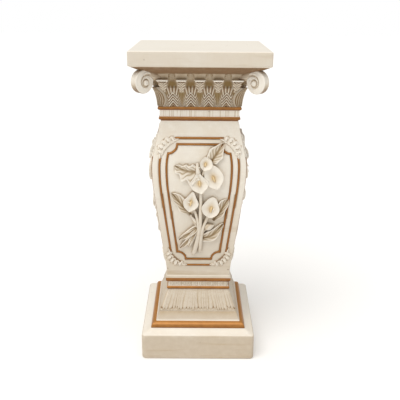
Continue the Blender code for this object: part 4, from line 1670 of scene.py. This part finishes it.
class NodeBook:
    """Nodes of one material."""

    def __init__(self, name: str) -> None:
        """Start a material with its shader and output."""
        self.material = bpy.data.materials.new(name)
        self.material.use_nodes = True
        self.tree = self.material.node_tree
        self.shader = self.tree.nodes["Principled BSDF"]

    def feed(self, target: bpy.types.NodeSocket, value: "Sock | float | tuple") -> None:
        """Link or set an input socket.

        Args:
            target: The input.
            value: The output to link, or the value to set.
        """
        if isinstance(value, Sock):
            self.tree.links.new(value.socket, target)
        else:
            target.default_value = value

    def node(self, kind: str, settings: dict, sockets: dict, output: int | str = 0) -> Sock:
        """Add a node.

        Args:
            kind: Blender's type name of the node.
            settings: Properties set first.
            sockets: Values or links for its inputs, by name or index.
            output: The output to return.

        Returns:
            The wrapped output socket.
        """
        node = self.tree.nodes.new(kind)
        for key, value in settings.items():
            setattr(node, key, value)
        for key, value in sockets.items():
            self.feed(node.inputs[key], value)
        return Sock(self, node.outputs[output])

    def finish(self, sockets: dict) -> bpy.types.Material:
        """Feed the shader.

        Args:
            sockets: Values or links for its inputs, by name.

        Returns:
            The material.
        """
        for key, value in sockets.items():
            self.feed(self.shader.inputs[key], value)
        return self.material

    def coat(self, coat: Coat) -> Sock:
        """Value of one paint mask."""
        return self.node("ShaderNodeAttribute", {"attribute_name": coat.value}, {}, "Fac")

    def upward(self, vector: Sock) -> Sock:
        """Upward part of a vector."""
        return self.node("ShaderNodeSeparateXYZ", {}, {"Vector": vector}, "Z")

    def place(self, scale: tuple[float, float, float] = (1.0, 1.0, 1.0)) -> Sock:
        """Object coordinates, stretched by a scale."""
        where = self.node("ShaderNodeTexCoord", {}, {}, "Object")
        return self.node("ShaderNodeMapping", {}, {"Vector": where, "Scale": scale})

    def noise(self, where: Sock, scale: float, detail: float = 4.0, rough: float = 0.55) -> Sock:
        """Noise from 0 to 1."""
        sockets = {"Vector": where, "Scale": scale, "Detail": detail, "Roughness": rough}
        return self.node("ShaderNodeTexNoise", {}, sockets, "Fac")

    def mix(self, share: "Sock | float", first: "Sock | tuple", second: "Sock | tuple") -> Sock:
        """Colour between two colours."""
        return self.node("ShaderNodeMix", {"data_type": "RGBA"}, {0: share, 6: first, 7: second}, 2)


@dataclass(frozen=True)
class AntiquedPlasterPaintedLight:
    """Cream paint on cast plaster, with brown antique glaze and painted shade in its hollows, painted
    highlights, painted light on surfaces that face up, and gold paint on its beads that is painted lighter
    on top.
    """

    cream: tuple = (0.86, 0.81, 0.72, 1.0)
    warm: tuple = (0.82, 0.745, 0.63, 1.0)
    # Chalky cream, also the colour of painted highlights and of painted light on surfaces facing up
    chalk: tuple = (0.91, 0.86, 0.77, 1.0)
    # Colour of the painted shade low down and under the plate
    tan: tuple = (0.51, 0.415, 0.30, 1.0)
    # Colour of stains and of the lighter painted shade in hollows
    stain_and_shade: tuple = (0.45, 0.31, 0.15, 1.0)
    # Umber of the antique glaze, of the darker painted shade and of the pits
    umber: tuple = (0.155, 0.065, 0.013, 1.0)
    olive: tuple = (0.22, 0.135, 0.022, 1.0)
    butter: tuple = (0.78, 0.56, 0.25, 1.0)
    # Gold painted lit where it faces up and shaded where it faces down
    gold_painted_lit: tuple = (0.50, 0.222, 0.053, 1.0)
    gold_painted_shade: tuple = (0.19, 0.065, 0.011, 1.0)
    roughness: float = 0.52
    gold_roughness: float = 0.40
    specular: float = 0.4
    bump: float = 0.35
    bump_depth: float = 0.0006

    def material(self) -> bpy.types.Material:
        """Make the material.

        Returns:
            The finished material.
        """
        book = NodeBook("antiqued_plaster_painted_light")
        plain = book.place()
        mottle = book.noise(plain, 70.0, 6.0, 0.6)
        uneven = mottle - 0.5
        grain = book.noise(plain, 620.0, 3.0)
        upright = book.noise(book.place((560.0, 560.0, 8.0)), 1.0, 3.0)
        facing = book.upward(book.node("ShaderNodeTexCoord", {}, {}, "Normal"))
        spots = book.node("ShaderNodeTexVoronoi", {"feature": "F1"}, {"Vector": plain, "Scale": 46.0},
                          "Distance")
        pits = (1 - spots.above(0.05, 0.13)) * mottle.above(0.55, 0.66)
        streaky, wash = book.coat(Coat.STREAK), book.coat(Coat.WASH)
        colour = self._paint(book, plain, mottle, upright, facing, streaky)
        # Brown antique glaze with painted shade, lighter and then darker as the mask grows
        glaze_and_shade = wash + uneven * 0.55 * wash + (grain - 0.5) * 0.25 * wash
        colour = book.mix(glaze_and_shade.above(0.02, 0.55) * 0.60, colour, self.stain_and_shade)
        colour = book.mix(glaze_and_shade.above(0.35, 1.0) * 0.85, colour, self.umber)
        moss, bloom = book.coat(Coat.MOSS), book.coat(Coat.BLOOM)
        # Olive tint, deeper as painted shade in hollows
        colour = book.mix((moss + uneven * 0.5 * moss).above(0.08, 0.95) * 0.85, colour, self.olive)
        # Painted highlights
        colour = book.mix(book.coat(Coat.PALE) * 0.75, colour, self.chalk)
        colour = book.mix((bloom + uneven * 0.3 * bloom).above(0.15, 1.15), colour, self.butter)
        colour = book.mix(pits * 0.8, colour, self.umber)
        gilt = (book.coat(Coat.GILT) + uneven * 0.35).above(0.42, 0.58)
        # Gold lighter where it faces up, darker where it faces down, as painted light and shade
        gold = book.mix((facing * 0.55 + 0.42 + uneven * 0.9).shut(), self.gold_painted_shade, self.gold_painted_lit)
        # Painted shade on the gold towards the beads' roots
        gold = book.mix(wash.above(0.30, 0.95) * 0.7, gold, self.umber)
        ribbed = upright * (streaky * 0.9 + 0.22)
        height = (mottle * 0.35 + grain * 0.22 + ribbed - pits * 1.4) * (1 - gilt * 0.6)
        relief = {"Strength": self.bump, "Distance": self.bump_depth, "Height": height}
        rough = mottle * 0.18 + self.roughness - 0.09
        return book.finish({
            "Base Color": book.mix(gilt, colour, gold),
            "Roughness": rough + (self.gold_roughness - self.roughness) * gilt,
            "Metallic": gilt * 0.30,
            "Normal": book.node("ShaderNodeBump", {}, relief),
            "Specular IOR Level": self.specular})

    def _paint(self, book: NodeBook, plain: Sock, mottle: Sock, upright: Sock, facing: Sock,
               streaky: Sock) -> Sock:
        """Cream paint under the antiquing, with painted shade low down and under the plate and painted
        light on surfaces that face up.

        Args:
            book: The material's nodes.
            plain: Object coordinates.
            mottle: Noise of the brush's size.
            upright: Noise drawn out in height.
            facing: How far the surface faces up.
            streaky: Mask of the bands with upright streaks.

        Returns:
            The colour.
        """
        cloud = book.noise(plain, 9.0, 5.0)
        level = book.noise(book.place((7.0, 7.0, 75.0)), 1.0, 4.0)
        height_up = book.upward(plain)
        # Painted light on surfaces that face up
        top_light = facing.above(0.45, 0.95)
        # Painted shade, darker towards the floor, most of all on the plinth, and under the plate, left off
        # surfaces facing up
        plinth_shade = 1 - height_up.above(0.05, 0.10)
        low_and_soffit_shade = 1 - height_up.above(0.14, 0.50) + height_up.above(0.70, 0.725) * 0.55
        low_and_soffit_shade = low_and_soffit_shade * (1 - top_light)
        colour = book.mix(cloud.above(0.34, 0.68), self.cream, self.warm)
        colour = book.mix(mottle.above(0.45, 0.75) * 0.55, colour, self.chalk)
        # Painted shade in tan
        colour = book.mix(low_and_soffit_shade * (mottle * 0.4 + 0.45 + plinth_shade * 0.16), colour, self.tan)
        # Horizontal stains, heavier where the painted shade is
        colour = book.mix(level.above(0.52, 0.76) * (low_and_soffit_shade * 0.45 + 0.06), colour, self.stain_and_shade)
        colour = book.mix(upright.above(0.50, 0.72) * (streaky * 0.8 + 0.04), colour, self.stain_and_shade)
        colour = book.mix(streaky * (1 - upright.above(0.34, 0.52)) * 0.5, colour, self.chalk)
        # Painted light: surfaces facing up are lighter, the plate's top most
        return book.mix(top_light * (height_up.above(0.5, 0.7) * 0.5 + 0.25), colour, self.chalk)


@dataclass(frozen=True)
class StudioFloor:
    """Plain pale floor paint."""

    tone: tuple = (0.93, 0.925, 0.915, 1.0)
    cloud: tuple = (0.91, 0.905, 0.895, 1.0)
    roughness: float = 0.9
    glow: float = 0.10

    def material(self) -> bpy.types.Material:
        """Make the material."""
        book = NodeBook("studio_floor")
        tone = book.mix(book.noise(book.place(), 2.0, 2.0) * 0.2, self.tone, self.cloud)
        return book.finish({"Base Color": tone, "Roughness": self.roughness,
                            "Emission Color": self.tone, "Emission Strength": self.glow})


@dataclass(frozen=True)
class Sun:
    """Broad soft light from a direction, alike all over the floor."""

    name: str
    place: tuple[float, float, float]
    spread: float
    strength: float
    tint: tuple[float, float, float] = (1.0, 0.985, 0.96)

    def light(self) -> None:
        """Add the light to the scene."""
        data = bpy.data.lights.new(self.name, "SUN")
        data.angle = math.radians(self.spread)
        data.energy = self.strength
        data.color = self.tint
        lamp = bpy.data.objects.new(self.name, data)
        lamp.rotation_euler = Vector(self.place).to_track_quat("Z", "Y").to_euler()
        bpy.context.scene.collection.objects.link(lamp)


@dataclass
class Studio:
    """Floor, soft lights and the camera at the photograph's place."""

    lens: float = 52.07
    place: tuple[float, float, float] = (-0.0057, -1.388, 0.8737)
    pitch: float = 19.64
    yaw: float = 0.366
    roll: float = 0.517
    sky: float = 0.34
    sky_tint: tuple = (1.0, 0.995, 0.985, 1.0)
    floor_reach: float = 12.0
    suns: tuple[Sun, ...] = (
        Sun("key", (-1.0, -1.3, 2.1), 50.0, 1.2), Sun("fill", (1.3, -1.0, 1.2), 80.0, 0.16),
        Sun("top", (-0.1, -0.2, 1.0), 60.0, 1.42))

    def build(self) -> None:
        """Make the studio."""
        self._camera()
        self._world()
        for sun in self.suns:
            sun.light()
        bm = bmesh.new()
        bmesh.ops.create_grid(bm, x_segments=1, y_segments=1, size=self.floor_reach)
        mesh = bpy.data.meshes.new("studio_floor")
        bm.to_mesh(mesh)
        bm.free()
        floor = bpy.data.objects.new("studio_floor", mesh)
        floor.data.materials.append(StudioFloor().material())
        bpy.context.scene.collection.objects.link(floor)

    def _camera(self) -> None:
        """Camera fitted to the photograph."""
        yaw, pitch, roll = (math.radians(angle) for angle in (self.yaw, self.pitch, self.roll))
        right = Vector((math.cos(yaw), -math.sin(yaw), 0))
        level = math.cos(pitch)
        ahead = Vector((math.sin(yaw) * level, math.cos(yaw) * level, -math.sin(pitch)))
        up = right.cross(ahead)
        across = math.cos(roll) * right + math.sin(roll) * up
        above = math.cos(roll) * up - math.sin(roll) * right
        camera = bpy.data.objects.new("camera", bpy.data.cameras.new("camera"))
        camera.data.lens = self.lens
        camera.data.clip_start = 0.01
        turn = Matrix((across, above, -ahead)).transposed()
        camera.matrix_world = Matrix.LocRotScale(Vector(self.place), turn, None)
        bpy.context.scene.collection.objects.link(camera)
        bpy.context.scene.camera = camera

    def _world(self) -> None:
        """Soft white surroundings in front of a white backdrop."""
        world = bpy.data.worlds.new("studio")
        bpy.context.scene.world = world
        world.use_nodes = True
        nodes, links = world.node_tree.nodes, world.node_tree.links
        nodes["Background"].inputs["Color"].default_value = self.sky_tint
        nodes["Background"].inputs["Strength"].default_value = self.sky
        backdrop = nodes.new("ShaderNodeBackground")
        backdrop.inputs["Color"].default_value = (1.0, 1.0, 1.0, 1.0)
        path, blend = nodes.new("ShaderNodeLightPath"), nodes.new("ShaderNodeMixShader")
        links.new(path.outputs["Is Camera Ray"], blend.inputs[0])
        links.new(nodes["Background"].outputs[0], blend.inputs[1])
        links.new(backdrop.outputs[0], blend.inputs[2])
        links.new(blend.outputs[0], nodes["World Output"].inputs["Surface"])
        bpy.context.scene.view_settings.view_transform = "Standard"


def dress(name: str, bm: Mesh, material: bpy.types.Material) -> None:
    """Turn a finished bmesh into a piece that stands for the casting.

    Args:
        name: The piece's name.
        bm: Its mesh, which is freed.
        material: Its finish.
    """
    mesh = bpy.data.meshes.new(name)
    bm.to_mesh(mesh)
    bm.free()
    mesh.polygons.foreach_set("use_smooth", [True] * len(mesh.polygons))
    mesh.materials.append(material)
    piece = bpy.data.objects.new(name, mesh)
    bpy.context.scene.collection.objects.link(piece)
    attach(piece, "root")
    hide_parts("pedestal")
    mesh.calc_loop_triangles()
    LOG.info("%s: %d triangles", name, len(mesh.loop_triangles))


def main() -> None:
    """Build the studio and every sub-assembly."""
    logging.basicConfig(level=logging.INFO, format="%(name)s: %(message)s")
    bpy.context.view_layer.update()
    Studio().build()
    outline = Outline()
    pieces: dict[str, Mesh] = {}
    for assembly in (Base, Skirt, Shaft, Bell, Plate, PanelBeads, Corners, Sprays, Volutes):
        pieces.update(assembly(outline).build())
    # Painted shade and brown antique glaze in every hollow, from rays cast among all the pieces
    HollowShadeAndGlaze().darken_hollows(pieces)
    plaster = AntiquedPlasterPaintedLight().material()
    for name, bm in pieces.items():
        dress(name, bm, plaster)


if __name__ == "__main__":
    main()
